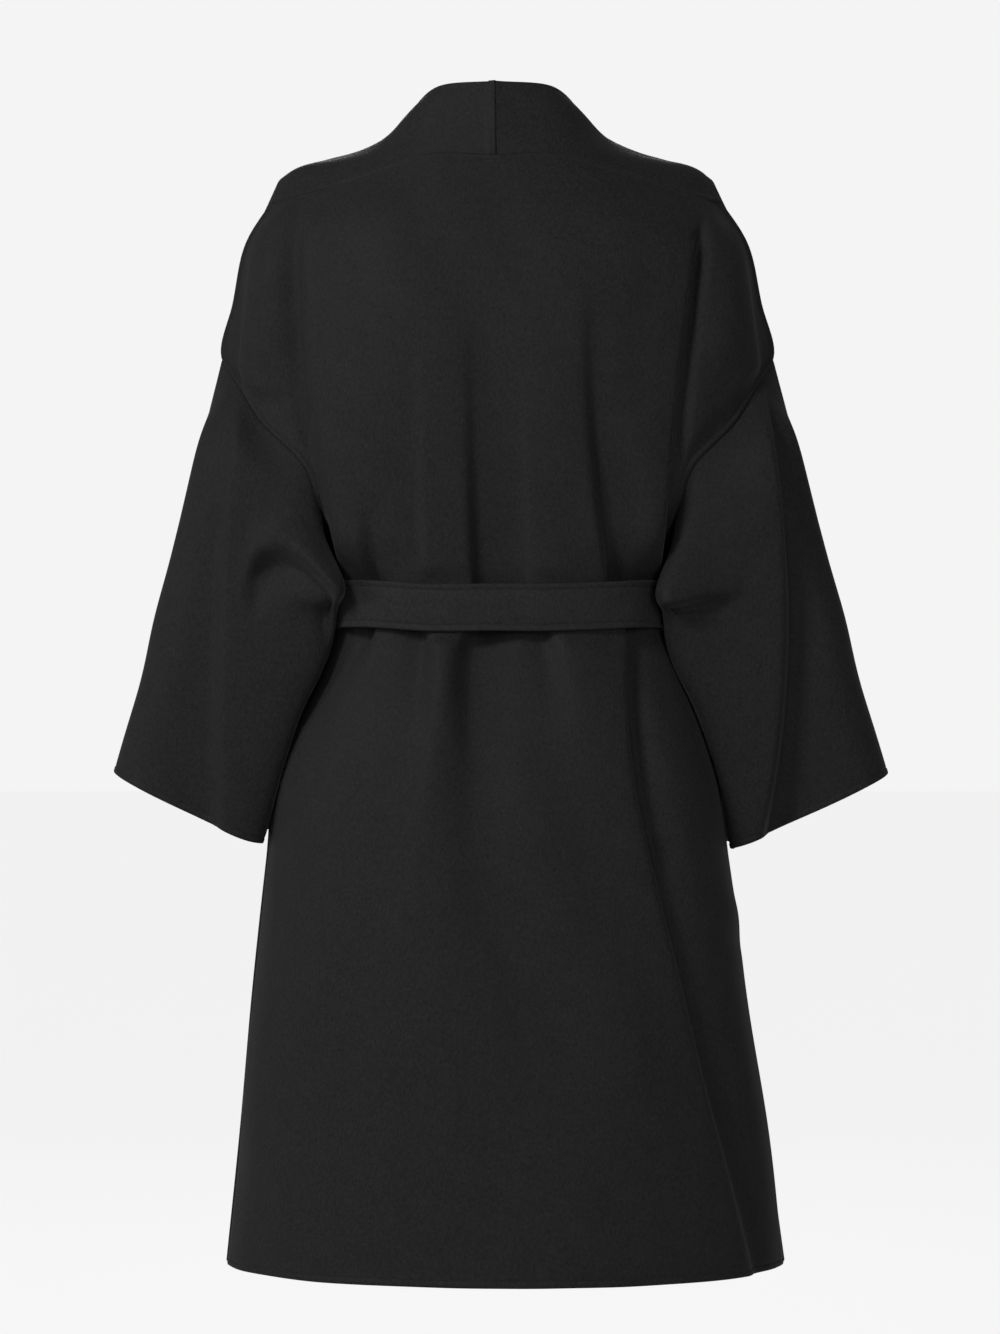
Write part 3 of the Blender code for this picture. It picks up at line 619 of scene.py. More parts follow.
# Folds fade out over this distance from a seam
SEAM_FADE = 34.0 * MM

back_half = back_half_net("left")
back_row_cuts = net_cuts(net_knots(back_half, 0), ROW_SPACING)
half_line_cuts = net_cuts(net_knots(back_half, 1), LINE_SPACING)
back_line_cuts = half_line_cuts + [turned_shares(shares) for shares in half_line_cuts[::-1]]
back_plain, back_grid = back_panel()
back_from_top, back_from_hem = row_distances(back_grid)
back_from_seam = np.minimum(back_from_top, np.minimum(*line_distances(back_grid)))
back_relief = np.where(
    back_from_hem < back_from_seam,
    welt_height(back_from_hem, WELT_WIDTH, TURNED_RISE),
    welt_height(back_from_seam, WELT_WIDTH, WELT_RISE),
)
back_relief = under_belt(back_relief, back_grid[..., 2])
back_from_edge = np.minimum(back_from_seam, back_from_hem)

brushed_wool = nap_group()
coat_wool = wool("black wool", BLACK_WOOL, COAT_MOTTLING)
coat_back = sew("back", back_grid, False, 1.0, back_relief, back_from_edge)

# The fronts
# Two wide fronts of the same wool that lap at the waist, the right one on top. Each half of the
# standing collar is cut in one with its front; the halves are seamed at the middle of the back, where
# the left one is felled over the right one. The free edges are turned in and felled.

# Where the fronts lap, one lies this far out and the other this far in, fully so below the second height
LAP_LIFT = 3.0 * MM
LAP_TOP = -150.0 * MM
LAP_FULL = -230.0 * MM
COLLAR_WELT = 8.0 * MM
FRONT_SPACING = 6.0 * MM
# Angle of each line of the net, from the side seam past the middle to the front edge
FRONT_ANGLES = (0.0, 24.0, 46.0, 90.0, 114.0)
# Places of those lines, counted in net steps and measured along the cloth in mm
FRONT_LINE_PLACES = np.array([0.0, 2.0, 4.0, 8.0, 11.0])
FRONT_LINE_MILLIMETRES = np.array([0.0, 62.0, 132.0, 260.0, 335.0])
# Net steps over which the outer seam's shape fades and the lap lifts, and over which folds rise
FRONT_FADE_LINES = 6.0
LIFT_FROM_LINE = 1.0
FOLD_FADE_LINES = 3.0
# Folds also rise between these distances from the coat's middle
MIDDLE_FADE = (50.0 * MM, 85.0 * MM)
# Net rows over which the collar half takes on the shape of its seam
COLLAR_FADE_ROWS = 1.0

# Chest sections above the waist, used where the two fronts lap, mm
CHEST = [
    Section(-150, 176, 176, 117, 134, 2.6),
    Section(-210, 174, 174, 117, 141, 2.6),
    Section(-270, 172, 172, 117, 144, 2.6),
    Section(-325, 170, 170, 117, 141, 2.6),
    Section(-375, 168, 168, 117, 133, 2.6),
]
# Distances from the coat's middle between which these sections give way to the net's own shape
CHEST_NEAR = 55.0 * MM
CHEST_FAR = 120.0 * MM

# Front of the armhole between its top and the underarm: x, y and z, mm
FRONT_ARMHOLE = [
    (255, -50, -226),
    (222, -78, -264),
    (192, -74, -311),
    (178, -46, -352),
]

# Upper front, a row from the panel's outer seam past the shoulder, the arm and the chest to its free
# edge, mm. The rows fan round the shoulder and end at the middle of the back of the collar.
FrontRow = namedtuple("FrontRow", "shoulder arm chest edge")
UPPER_FRONT = [
    FrontRow((152, -62, -388), (118, -104, -384), (-2, -134, -372), (-66, -129, -366)),
    FrontRow((160, -86, -346), (130, -116, -340), (18, -141, -322), (-42, -137, -312)),
    FrontRow((172, -98, -303), (142, -121, -295), (40, -143, -272), (-16, -140, -260)),
    FrontRow((192, -94, -255), (158, -117, -246), (62, -141, -218), (12, -139, -204)),
    FrontRow((216, -82, -218), (170, -107, -208), (78, -135, -176), (31, -133, -160)),
    FrontRow((244, -66, -188), (184, -94, -172), (91, -127, -138), (46, -125, -120)),
    FrontRow((244, -56, -134), (193, -82, -118), (100, -114, -90), (57, -111, -76)),
    FrontRow((234, -44, -72), (190, -66, -56), (104, -92, -42), (64, -91, -32)),
    FrontRow((215, -10, -17), (186, -34, -5), (106, -64, 2), (69, -67, 10)),
    FrontRow((198, 9, -10), (172, -12, 1), (107, -40, 15), (73, -45, 28)),
    FrontRow((177, 20, -9), (154, 2, 3), (102, -23, 23), (76, -27, 39)),
    FrontRow((151, 30, -7), (133, 14, 7), (95, -8, 33), (76, -12, 49)),
    FrontRow((114, 44, 0), (107, 32, 14), (90, 14, 42), (75, 9, 57)),
    FrontRow((71, 61, 11), (72, 54, 25), (66, 45, 54), (57, 41, 68)),
    FrontRow((0, 74, 10), (0, 71, 25), (0, 65, 55), (0, 62, 71)),
]
FRONT_FOLDS = [
    Fold(-210, -440, 92, 96, 104, 20, 20, 18, 12, 0, -7),
    Fold(-250, -440, -88, -94, -100, 12, 20, 12, 18, 0, -7),
    Fold(-455, -900, 132, 172, 205, 16, 20, 30, 30, -6, -4),
    Fold(-455, -980, -132, -170, -208, 20, 16, 30, 32, -6, -5),
    Fold(-455, -640, 98, 112, 124, 14, 10, 22, 18, -4, 0),
    Fold(-455, -660, -100, -112, -126, 10, 14, 18, 22, -4, 0),
]


def running_length(points):
    """Length along a line of points up to each point."""
    steps = np.linalg.norm(np.diff(points, axis=0), axis=1)
    return np.concatenate([[0.0], np.cumsum(steps)])


def seam_curve(first, points, last, cuts):
    """Points along a seam through its key points, cut as given."""
    keys = np.concatenate([first[None], np.array(points, float) * MM, last[None]])
    knots = running_length(keys)
    return smooth_through(knots, keys, stepped(knots, cuts))


def front_face_y(x, z, side):
    """How far forward one side's front stands at places given in metres."""
    sections = CHEST + SKIRT
    heights = [-section.z * MM for section in sections]
    down = np.clip(-z, heights[0], heights[-1]).ravel()

    def at_height(name):
        values = smooth_through(heights, [getattr(section, name) for section in sections], down)
        return values.reshape(x.shape)

    share = np.clip(np.abs(x) / (at_height(side) * MM), 0.0, 1.0)
    square = at_height("square")
    return -at_height("front") * MM * (1.0 - share ** square) ** (1.0 / square)


def front_net(outer, side):
    """Key points of a front, turned to the left: rows from the hem round the shoulder to the collar."""
    rows = [section_row(section, side, FRONT_ANGLES, -section.front) for section in reversed(SKIRT)]
    for start, row in zip(front_starts[len(SKIRT):], UPPER_FRONT):
        rows.append([tuple(outer[start] / MM), *row])
    return np.array(rows, float) * MM


def front_panel(outer, side):
    """Front before lapping, turned to the left, its outer edge on the back's and armhole's seam."""
    grid = net_surface(front_net(outer, side), front_row_cuts, front_line_cuts)
    fade = 1.0 - smooth_step(0.0, FRONT_FADE_LINES, front_lines)
    grid = grid + (outer - grid[:, 0])[:, None] * fade[None, :, None]
    last = UPPER_FRONT[-1]
    collar_end = np.array(last.edge, float) * MM
    collar_seam = seam_curve(outer[-1], last[:-1], collar_end, front_line_cuts)
    from_end = stepped(np.arange(len(front_row_cuts) + 1.0), front_row_cuts)
    near_end = 1.0 - smooth_step(0.0, COLLAR_FADE_ROWS, from_end[-1] - from_end)
    grid = grid + (collar_seam - grid[-1])[None] * near_end[:, None, None]
    x, y, z = np.moveaxis(grid, -1, 0)
    lap = 1.0 - smooth_step(LAP_FULL, LAP_TOP, z)
    at_middle = 1.0 - smooth_step(CHEST_NEAR, CHEST_FAR, x)
    below_waist = 1.0 - smooth_step(SKIRT[0].z * MM, CHEST[-1].z * MM, z)
    from_seam = smooth_step(0.0, FOLD_FADE_LINES, front_lines)
    weight = lap * from_seam * np.maximum(at_middle, below_waist * (y < 0.0))
    y += weight * (front_face_y(x, z, side) - y)
    return grid


def lapped(grid, facing, lift):
    """Front with its folds, moved in or out where the two fronts lap."""
    normals = grid_normals(grid, False, facing)
    x, y, z = np.moveaxis(grid, -1, 0)
    push = under_belt(fold_push(x, z, FRONT_FOLDS) + cloth_waves(x, z), z) * (y < 0.0)
    push *= smooth_step(0.0, FOLD_FADE_LINES, front_lines)
    push *= smooth_step(*MIDDLE_FADE, np.abs(x))
    below = 1.0 - smooth_step(LAP_FULL, LAP_TOP, z)
    push += lift * below * smooth_step(LIFT_FROM_LINE, FRONT_FADE_LINES, front_lines)
    return push_level(grid, normals, push)


def front_relief(grid, left):
    """Welts along the armhole, and on the left collar half along the middle of the back."""
    from_outer, from_free = line_distances(grid)
    from_hem, from_collar_seam = row_distances(grid)
    low, high = (front_starts[len(back_row_cuts) - number] for number in reversed(ARMHOLE_ROWS))
    rows = np.arange(len(grid))
    at_armhole = ((rows >= low) & (rows <= high))[:, None]
    relief = at_armhole * welt_height(from_outer, WELT_WIDTH, WELT_RISE)
    from_turned = np.minimum(from_free, from_hem)
    relief += welt_height(from_turned, WELT_WIDTH, TURNED_RISE)
    if left:
        relief += welt_height(from_collar_seam, COLLAR_WELT, WELT_RISE)
    from_edge = np.minimum(np.minimum(from_outer, from_turned), from_collar_seam)
    return relief, from_edge


front_row_cuts = [turned_shares(shares) for shares in back_row_cuts[::-1]] + half_line_cuts
front_starts = cut_starts(front_row_cuts)
back_starts = cut_starts(back_row_cuts)
armhole_top, underarm = (back_starts[number] for number in ARMHOLE_ROWS)
armhole_cuts = back_row_cuts[slice(*ARMHOLE_ROWS)]
front_line_cuts = net_cuts(FRONT_LINE_MILLIMETRES * MM, FRONT_SPACING)
front_lines = stepped(FRONT_LINE_PLACES, front_line_cuts)

Side = namedtuple("Side", "name sign lift")
SIDES = [Side("left", 1.0, -LAP_LIFT), Side("right", -1.0, LAP_LIFT)]
armhole_loops = {}
for side in SIDES:
    turned_back = back_grid if side.sign > 0.0 else mirrored(back_grid[:, ::-1])
    back_edge = turned_back[:, -1]
    armhole_front = seam_curve(back_edge[armhole_top], FRONT_ARMHOLE, back_edge[underarm], armhole_cuts)
    middle = turned_back.shape[1] // 2
    outer_seam = np.concatenate([
        back_edge[:underarm:-1],
        armhole_front[::-1],
        back_edge[armhole_top - 1::-1],
        turned_back[0, -2:middle - 1:-1],
    ])
    armhole_loops[side.name] = np.concatenate([back_edge[armhole_top:underarm], armhole_front[:0:-1]])
    front_plain = front_panel(outer_seam, side.name)
    front_turned = front_plain if side.sign > 0.0 else mirrored(front_plain)
    front_grid = lapped(front_turned, -side.sign, side.lift)
    relief, from_edge = front_relief(front_grid, side.sign > 0.0)
    coat_front = sew("front_" + side.name, front_grid, False, -side.sign, relief, from_edge)

# The sleeves
# Two wide straight sleeves of the same wool, set flat into the dropped armholes, where the body's welt
# is felled over them. Cloth hangs in a pouch under each arm, a pressed fold runs down the back of each
# sleeve, and the open cuffs are turned in and felled.

# Sleeve sections from just below the armhole to the cuff, mm; front_x is the inner side's place at the
# front, where it lies before the hip, drop is how far the back hangs lower, and lap is how far its inner
# edge lies behind the hip
SleeveRow = namedtuple(
    "SleeveRow",
    "outer_x outer_z inner_x inner_z front_x middle_y back front drop lap",
)
SLEEVE_LEFT = [
    SleeveRow(293, -268, 179, -438, 172, -12, 82, 86, 0, 24),
    SleeveRow(322, -370, 177, -486, 166, -26, 88, 88, 2, 22),
    SleeveRow(352, -482, 213, -562, 196, -40, 92, 90, 8, 20),
    SleeveRow(389, -611, 240, -672, 222, -54, 88, 90, 14, 7),
]
SLEEVE_RIGHT = [
    SLEEVE_LEFT[0],
    SLEEVE_LEFT[1]._replace(lap=24),
    SLEEVE_LEFT[2]._replace(inner_x=206, front_x=190, lap=16),
    SLEEVE_LEFT[3]._replace(outer_z=-613, inner_x=231, inner_z=-684, front_x=214, drop=7, lap=8),
]
# Squareness of a section's quarters, from its outer side round by the back
SLEEVE_SQUARENESS = (4.0, 6.0, 3.6, 3.6)
# Shares of a sleeve's depth between which its inner side moves to its place at the front
INNER_TURN = (0.0, 0.8)
# The back of a sleeve is deeper at its inner side by this share, and laps behind the hip there
INNER_DEEPER = 0.16
LAP_TURN = (0.55, 0.95)
QUARTER_ANGLES = np.linspace(0.0, 90.0, 60)
DROP_INWARD = 1.25
SLEEVE_SPACING = 4.4 * MM
SLEEVE_FADE = 0.75
# Folds are on the part of a sleeve that faces back at least this much
FACES_BACK = 0.5
SEAM_DIP = 0.4 * MM
SEAM_DIP_REACH = 5.0 * MM

# Folds down the sleeves, mm, each sleeve turned to the left
SLEEVE_FOLDS_LEFT = [
    Fold(-215, -690, 250, 270, 272, 80, 7, 90, 7, 5, 7),
    Fold(-225, -690, 266, 287, 290, 10, 40, 11, 50, -4, -8),
]
SLEEVE_FOLDS_RIGHT = [
    Fold(-225, -690, 256, 279, 252, 40, 6, 40, 7, 10, 9),
    Fold(-225, -690, 268, 291, 264, 7, 36, 8, 44, -12, -18),
]
# Folds across the sleeves under the arms: the two directions are exchanged, so the first sizes are
# places across, the lines are heights, and the flanks are below and above
ARM_SWAGS_LEFT = [
    Fold(246, 168, -404, -386, -432, 6, 26, 5, 22, 5, 10),
    Fold(244, 170, -420, -403, -446, 30, 6, 34, 7, -11, -14),
]
ARM_SWAGS_RIGHT = [
    Fold(236, 176, -434, -429, -431, 4, 18, 4, 16, 3, 8),
    Fold(230, 178, -445, -440, -442, 8, 5, 9, 5, -3, -15),
]
# Swell of the cloth under each arm: centre, reach and push, mm
Swell = namedtuple("Swell", "x z reach_x reach_z push")
SLEEVE_SWELL_LEFT = Swell(182, -416, 32, 26, (-18, 20, -18))
SLEEVE_SWELL_RIGHT = SLEEVE_SWELL_LEFT._replace(z=-420)


def sleeve_place(row, quarter, angle):
    """Place on a sleeve's section, from its outer side round by the back, mm."""
    angle += 90.0 * quarter
    across, deep = round_share(angle, SLEEVE_SQUARENESS[quarter])
    share = (1.0 + across) / 2.0
    inner_x = mix(row.inner_x, row.front_x, smooth_step(*INNER_TURN, -deep))
    inner_x -= row.lap * smooth_step(*LAP_TURN, deep)
    x = mix(inner_x, row.outer_x, share)
    reach = row.front
    z = mix(row.inner_z, row.outer_z, share)
    if deep > 0.0:
        reach = row.back * (1.0 + INNER_DEEPER * (1.0 - share))
        z -= row.drop * deep ** 2 * (DROP_INWARD - share)
    return x, row.middle_y + deep * reach, z


def along_curve(curve, shares):
    """Points at shares of a curve's length."""
    lengths = running_length(curve)
    return np.stack([np.interp(shares * lengths[-1], lengths, axis) for axis in curve.T], axis=-1)


def sleeve_tube(sleeve):
    """Sleeve, turned to the left: rings from the armhole to the cuff, lines from the top by the back."""
    armhole = armhole_loops[sleeve.name]
    loop = np.empty((2 * len(armhole), 3))
    loop[0::2] = armhole
    loop[1::2] = (armhole + np.roll(armhole, -1, axis=0)) / 2.0
    quarters = 4.0 * np.arange(len(loop)) / len(loop)
    rings = np.empty((len(sleeve.rows), len(loop), 3))
    for ring, row in zip(rings, sleeve.rows):
        for quarter in range(4):
            inside = np.floor(quarters) == quarter
            curve = np.array([sleeve_place(row, quarter, angle) for angle in QUARTER_ANGLES])
            ring[inside] = along_curve(curve, quarters[inside] - quarter)
    net = np.concatenate([loop[None], rings * MM])
    knots = net_knots(net, 0)
    cuts = net_cuts(knots, SLEEVE_SPACING)
    tube = smooth_through(knots, net, stepped(knots, cuts))
    normals = grid_normals(tube, True, -1.0)
    at_back = smooth_step(0.0, FACES_BACK, normals[..., 1])
    from_seam = smooth_step(0.0, SLEEVE_FADE, stepped(np.arange(len(cuts) + 1.0), cuts))[:, None]
    x = tube[..., 0]
    z = tube[..., 2]
    push = fold_push(x, z, sleeve.folds) + fold_push(z, x, sleeve.swags)
    push = push * at_back + cloth_waves(x, z)
    tube = push_level(tube, normals, push * from_seam)
    swell = sleeve.swell
    reach_x = (tube[..., 0] / MM - swell.x) / swell.reach_x
    reach_z = (tube[..., 2] / MM - swell.z) / swell.reach_z
    weight = np.exp(-(reach_x ** 2 + reach_z ** 2)) * at_back * from_seam
    return tube + weight[..., None] * np.array(swell.push) * MM


SleeveSide = namedtuple("SleeveSide", "name sign rows folds swags swell")
SLEEVES = [
    SleeveSide("left", 1.0, SLEEVE_LEFT, SLEEVE_FOLDS_LEFT, ARM_SWAGS_LEFT, SLEEVE_SWELL_LEFT),
    SleeveSide("right", -1.0, SLEEVE_RIGHT, SLEEVE_FOLDS_RIGHT, ARM_SWAGS_RIGHT, SLEEVE_SWELL_RIGHT),
]
for sleeve in SLEEVES:
    tube = sleeve_tube(sleeve)
    tube = tube if sleeve.sign > 0.0 else mirrored(tube)
    from_armhole, from_cuff = row_distances(tube)
    relief = welt_height(from_cuff, WELT_WIDTH, TURNED_RISE)
    relief -= SEAM_DIP * (1.0 - smooth_step(0.0, SEAM_DIP_REACH, from_armhole))
    from_edge = np.minimum(from_armhole, from_cuff)
    coat_sleeve = sew("sleeve_" + sleeve.name, tube, True, -sleeve.sign, relief, from_edge)

# The belt
# A flat belt of the same wool, doubled and edge-stitched, drawn tight round the waist. Its two long
# edges are rounded and stand a little proud of the stitched line beside them. It sags slightly at the
# middle of the back.
BELT_MIDDLE = (BELT_TOP + BELT_BOTTOM) / 2.0
BELT_WIDTH = BELT_TOP - BELT_BOTTOM
BELT_THICK = 4.6 * MM
BELT_GAP = 0.3 * MM
# It lies lower at the middle of the back and rises towards the sides, most near them
BELT_SAG = 2.2 * MM
BELT_BACK = 100.0 * MM
BELT_SIDE_LIFT = 5.0 * MM
BELT_SIDE = 150.0 * MM
BELT_SIDE_POWER = 3
BELT_STITCH = 6.0 * MM
BELT_STITCH_SINK = 0.8 * MM
BELT_STITCH_REACH = 0.9 * MM
BELT_EDGE_RISE = 0.8 * MM
BELT_CROWN = 0.6 * MM
BELT_CROWN_FULL = 18.0 * MM
# Slight uneven waves along the band: height, and two rates in turns round the waist, with their phases
BELT_WAVE = 0.5 * MM
BELT_WAVE_TURNS = ((7.0, 0.0), (3.0, 1.0))
BELT_EDGE_RADIUS = 1.9 * MM
# Distances from a long edge at which the belt's mesh has a line of its own, mm
BELT_LINES = (0.0, 0.3, 0.8, 1.6, 3.0, 4.4, 5.2, 6.0, 6.8, 7.8, 9.4)
BELT_ROWS = 34
BELT_SPACING = 4.0 * MM
BLACK_BELT = (0.0110, 0.0110, 0.0110, 1.0)
BELT_MOTTLING = 0.95


def waist_ring():
    """Even places round the waist on the unfolded cloth, lifted in front over the lap."""
    level = back_starts[len(UPPER_BACK) + 1]
    back_row = back_plain[level][::-1]
    to_middle = cut_starts(front_line_cuts)[-2] + 1
    left = front_plain[front_starts[len(SKIRT) - 1], :to_middle].copy()
    left[:, 1] -= LAP_LIFT * smooth_step(0.0, FRONT_FADE_LINES, front_lines[:to_middle])
    closed = np.concatenate([back_row[:-1], mirrored(left)[:-1], left[:0:-1], back_row[:1]])
    count = round(running_length(closed)[-1] / BELT_SPACING)
    return along_curve(closed, np.arange(count) / count)


def ring_normals(ring):
    """Level outward directions along a closed ring that runs anticlockwise seen from above."""
    tangent = np.roll(ring, -1, 0) - np.roll(ring, 1, 0)
    return unit(np.stack([tangent[:, 1], -tangent[:, 0], np.zeros(len(ring))], axis=1))


def band_relief(from_edge):
    """Face of a stitched band: rounded, proud edges, a sunk stitch line and a soft crown between."""
    proud = BELT_EDGE_RISE * (1.0 - smooth_step(0.0, BELT_STITCH, from_edge))
    sink = BELT_STITCH_SINK * np.exp(-((from_edge - BELT_STITCH) / BELT_STITCH_REACH) ** 2)
    crown = BELT_CROWN * smooth_step(BELT_STITCH, BELT_CROWN_FULL, from_edge)
    return proud + crown - sink - edge_round(from_edge, BELT_EDGE_RADIUS)


def band_places(width):
    """Distances across a band, closer together at its edges and stitch lines."""
    close = np.array(BELT_LINES) * MM
    middle = np.linspace(close[-1], width - close[-1], BELT_ROWS - 2 * len(close) + 2)[1:-1]
    return np.concatenate([close, middle, width - close[::-1]])


def band_loop(middle, across, out, width, thick):
    """Section loops of a band along its middle line, given its directions at each place."""
    places = band_places(width)
    relief = band_relief(np.minimum(places, width - places))
    offsets = places - width / 2.0
    face = middle[:, None] + across[:, None] * offsets[None, :, None]
    share = np.broadcast_to(thick, len(middle))[:, None] / BELT_THICK
    front = face + out[:, None] * (share * (BELT_THICK + relief))[..., None]
    back = face - out[:, None] * (share * np.minimum(relief, 0.0))[..., None]
    return np.concatenate([front, back[:, ::-1]], axis=1)


def tube_faces(sections, sides, closed):
    """Faces of a solid whose sections are loops of points; closed joins the last to the first."""
    numbers = np.arange(sections * sides).reshape(sections, sides)
    ends = [numbers[0, ::-1].tolist(), numbers[-1].tolist()]
    numbers = np.concatenate([numbers, numbers[:, :1]], axis=1)
    if closed:
        return grid_faces(np.concatenate([numbers, numbers[:1]])).tolist()
    return grid_faces(numbers).tolist() + ends


def belt_piece(node, loops, closed):
    """Piece of the belt made from its section loops."""
    faces = tube_faces(*loops.shape[:2], closed)
    return make_piece(node, leaned(loops).reshape(-1, 3), faces, belt_wool)


belt_wool = wool("black belt wool", BLACK_BELT, BELT_MOTTLING)
belt_ring = waist_ring()
belt_out = ring_normals(belt_ring)
at_side = smooth_step(0.0, BELT_SIDE, np.abs(belt_ring[:, 0])) ** BELT_SIDE_POWER
at_back = smooth_step(0.0, BELT_BACK, belt_ring[:, 1])
belt_middle = belt_ring + belt_out * BELT_GAP
belt_middle[:, 2] = BELT_MIDDLE + at_back * (BELT_SIDE_LIFT * at_side - BELT_SAG)
belt_turns = np.arange(len(belt_ring)) / len(belt_ring) * 2.0 * math.pi
quick_wave, slow_wave = (np.sin(rate * belt_turns + phase) for rate, phase in BELT_WAVE_TURNS)
belt_middle[:, 2] += BELT_WAVE * quick_wave * slow_wave
belt_down = np.broadcast_to([0.0, 0.0, -1.0], belt_ring.shape)
belt_loops = band_loop(belt_middle, belt_down, belt_out, BELT_WIDTH, BELT_THICK)
coat_belt = belt_piece("belt", belt_loops, True)

# The knot
# The belt's two ends are crossed and pulled through once at the middle of the front. One layer wraps
# down over the other, with small gathers where it is pulled tight.
KNOT_X = 16.0 * MM
KNOT_GAP = 0.3 * MM
KNOT_SIDES = 96
KNOT_SPACING = 1.6 * MM
KnotRow = namedtuple("KnotRow", "out half_width half_height")
KNOT = [
    KnotRow(0, 23, 19),
    KnotRow(4, 27, 23),
    KnotRow(12, 28, 24),
    KnotRow(19, 23, 20),
    KnotRow(22.5, 12, 10),
    KnotRow(23, 1, 1),
]
KNOT_SQUARENESS = 2.8
WRAP_TILT = math.radians(24.0)
WRAP_HALF_WIDTH = 15.0 * MM
WRAP_EDGE = 3.0 * MM
WRAP_RISE = 2.6 * MM
GATHER_PITCH = 8.5 * MM
GATHER_DEPTH = 0.7 * MM


def knot_loops(front_y):
    """Section loops of the knot from the belt outwards, with the wrap that crosses it."""
    rows = []
    for row in KNOT:
        ring = []
        for side in range(KNOT_SIDES):
            across, up = round_share(360.0 * side / KNOT_SIDES, KNOT_SQUARENESS)
            ring.append((KNOT_X / MM + across * row.half_width, -row.out, up * row.half_height))
        rows.append(ring)
    net = np.array(rows, float) * MM
    knots = net_knots(net, 0)
    loops = smooth_through(knots, net, stepped(knots, net_cuts(knots, KNOT_SPACING, edged=False)))
    normals = grid_normals(loops, True, 1.0)
    outward = np.sign(np.sum(normals * (loops - loops.mean(axis=(0, 1))), axis=-1, keepdims=True))
    off = (loops[..., 0] - KNOT_X) * math.cos(WRAP_TILT) + loops[..., 2] * math.sin(WRAP_TILT)
    inside = 1.0 - smooth_step(WRAP_HALF_WIDTH - WRAP_EDGE, WRAP_HALF_WIDTH, np.abs(off))
    gathers = GATHER_DEPTH * np.cos(2.0 * math.pi * off / GATHER_PITCH)
    from_belt = smooth_step(0.0, WRAP_HALF_WIDTH, -loops[..., 1])
    rise = (WRAP_RISE * inside + gathers) * from_belt
    loops = loops + normals * outward * rise[..., None]
    loops[..., 1] += front_y - KNOT_GAP
    loops[..., 2] += BELT_MIDDLE
    return loops


belt_front_y = (belt_ring[:, 1] + belt_out[:, 1] * (BELT_GAP + BELT_THICK)).min()
belt_piece("belt_knot", knot_loops(belt_front_y), False)

# The belt's hanging ends
# The rest of the belt hangs from the knot in two flat ends of unequal length over the lapped fronts,
# cut square and edge-stitched like the band round the waist.
END_WIDTH = 44.0 * MM
END_CLEAR = LAP_LIFT + 1.2 * MM
END_SPACING = 4.0 * MM
END_SWING = 1.3
END_TIP = 1.9 * MM
END_TIP_LINES = np.array([1.9, 1.2, 0.6, 0.2, 0.0]) * MM
END_WAVE = 1.6 * MM
BeltEnd = namedtuple("BeltEnd", "name x_top x_bottom z_bottom out waves")
BELT_ENDS = [
    BeltEnd("left", 14, 46, -905, 0, 1.6),
    BeltEnd("right", 12, -20, -872, 8.6, 2.1),
]


def end_loops(end):
    """Section loops of one hanging end, from under the knot to its tip."""
    knot_half = max(row.half_height for row in KNOT) * MM
    top = BELT_BOTTOM - (knot_half - BELT_WIDTH / 2.0) + END_WAVE
    bottom = end.z_bottom * MM
    heights = np.arange(top, bottom + END_TIP, -END_SPACING)
    heights = np.concatenate([heights, bottom + END_TIP_LINES])
    share = (heights - top) / (bottom - top)
    x = mix(end.x_top, end.x_bottom, share ** END_SWING) * MM
    clear = END_CLEAR + end.out * MM
    edges = []
    for off in (-0.5, 0.5):
        side = x + off * END_WIDTH
        edges.append(np.stack([side, front_face_y(side, heights, "left") - clear, heights], axis=1))
    middle = (edges[0] + edges[1]) / 2.0
    across = unit(edges[1] - edges[0])
    swing = END_WAVE * share * (1.0 - np.cos(2.0 * math.pi * end.waves * share)) / 2.0
    middle[:, 1] -= swing
    out = unit(np.cross(across, np.gradient(middle, axis=0)))
    out *= -np.sign(out[:, 1:2])
    tip = np.clip((heights - bottom) / END_TIP, 0.0, 1.0)
    thick = BELT_THICK * np.sqrt(1.0 - (1.0 - tip) ** 2)
    return band_loop(middle, across, out, END_WIDTH, thick)


for belt_end in BELT_ENDS:
    coat_end = belt_piece("belt_end_" + belt_end.name, end_loops(belt_end), False)

# The studio
# A plain pale floor below the coat, where a wearer's feet would stand, a pale surround, and soft lights
# round the coat, the strongest above the camera's left. The camera looks straight at the back, level
# with the coat's middle.
FLOOR_Z = -1.52
FLOOR_HALF = 30.0
# Colour and glow of the floor as the camera sees it, and as it lights the coat
FloorLook = namedtuple("FloorLook", "grey glow")
FLOOR_SEEN = FloorLook(0.06, 0.87)
FLOOR_CAST = FloorLook(0.22, 0.36)
WHITE = (1.0, 1.0, 1.0, 1.0)
FLOOR_SHADER = {"Roughness": 0.9, "Specular IOR Level": 0.1, "Emission Color": WHITE}
SURROUND_SEEN = 0.905
SURROUND_LIGHT = 0.12
CAMERA_DISTANCE = 4.2
CAMERA_HEIGHT = -0.507
IMAGE_HEIGHT_METRES = 1.334
SENSOR = 36.0


def seen_or_cast(tree, seen, cast, output):
    """Let the camera see one shader while all other light meets the other."""
    ray = tree.nodes.new("ShaderNodeLightPath")
    choice = tree.nodes.new("ShaderNodeMixShader")
    tree.links.new(ray.outputs["Is Camera Ray"], choice.inputs["Fac"])
    tree.links.new(cast.outputs[0], choice.inputs[1])
    tree.links.new(seen.outputs[0], choice.inputs[2])
    tree.links.new(choice.outputs["Shader"], tree.nodes[output].inputs["Surface"])


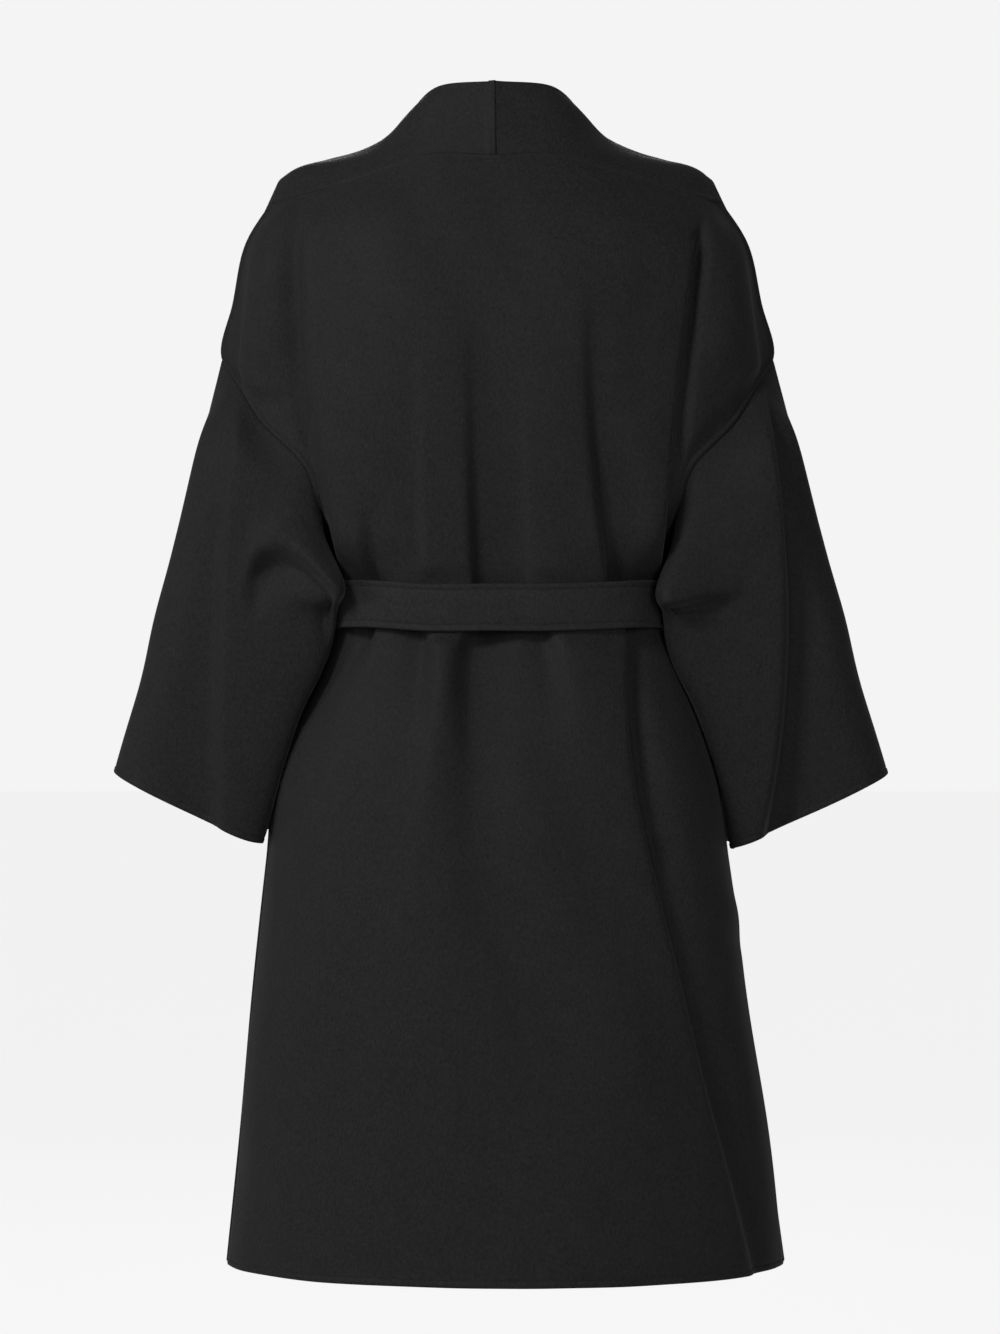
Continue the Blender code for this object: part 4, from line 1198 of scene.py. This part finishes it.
floor_material = bpy.data.materials.new("pale floor")
floor_material.use_nodes = True
floor_corners = FLOOR_HALF * np.array([(-1, -1, 0), (1, -1, 0), (1, 1, 0), (-1, 1, 0)])
floor_corners[:, 2] = FLOOR_Z
floor = add_mesh("studio_floor", floor_corners, [(0, 1, 2, 3)], floor_material)
floor_nodes = floor_material.node_tree.nodes
floor_seen = floor_nodes["Principled BSDF"]
floor_cast = floor_nodes.new("ShaderNodeBsdfPrincipled")
for floor_shader, look in ((floor_seen, FLOOR_SEEN), (floor_cast, FLOOR_CAST)):
    set_inputs(floor_shader, FLOOR_SHADER)
    colour = (look.grey, look.grey, look.grey, 1.0)
    set_inputs(floor_shader, {"Base Color": colour, "Emission Strength": look.glow})
seen_or_cast(floor_material.node_tree, floor_seen, floor_cast, "Material Output")

surround = bpy.data.worlds.new("pale surround")
bpy.context.scene.world = surround
surround.use_nodes = True
seen = surround.node_tree.nodes["Background"]
cast = surround.node_tree.nodes.new("ShaderNodeBackground")
for background, strength in ((seen, SURROUND_SEEN), (cast, SURROUND_LIGHT)):
    set_inputs(background, {"Color": WHITE, "Strength": strength})
seen_or_cast(surround.node_tree, seen, cast, "World Output")

# Soft lights aimed at the coat's middle: place, size in metres and power in watts
LIGHT_AIM = Vector((0.0, 0.0, -0.5))
SoftLight = namedtuple("SoftLight", "name place size power")
SOFT_LIGHTS = [
    SoftLight("key", (2.6, 3.2, 2.1), 1.2, 172.0),
    SoftLight("fill", (-1.6, 4.2, 0.4), 1.6, 78.0),
    SoftLight("side", (4.0, 0.9, 0.2), 1.0, 46.0),
    SoftLight("front", (0.2, -3.8, 1.2), 1.4, 55.0),
]
for light in SOFT_LIGHTS:
    lamp = bpy.data.lights.new(light.name, "AREA")
    lamp.size = light.size
    lamp.energy = light.power
    lamp_item = add_object(light.name, lamp)
    lamp_item.location = light.place
    direction = LIGHT_AIM - Vector(light.place)
    lamp_item.rotation_euler = direction.to_track_quat("-Z", "Y").to_euler()

camera = bpy.data.cameras.new("camera")
camera.sensor_fit = "VERTICAL"
camera.sensor_height = SENSOR
camera.lens = SENSOR * CAMERA_DISTANCE / IMAGE_HEIGHT_METRES
camera_item = add_object("camera", camera)
camera_item.location = (0.0, CAMERA_DISTANCE, CAMERA_HEIGHT)
camera_item.rotation_euler = (math.radians(90.0), 0.0, math.radians(180.0))
bpy.context.scene.camera = camera_item
bpy.context.scene.view_settings.view_transform = "Standard"
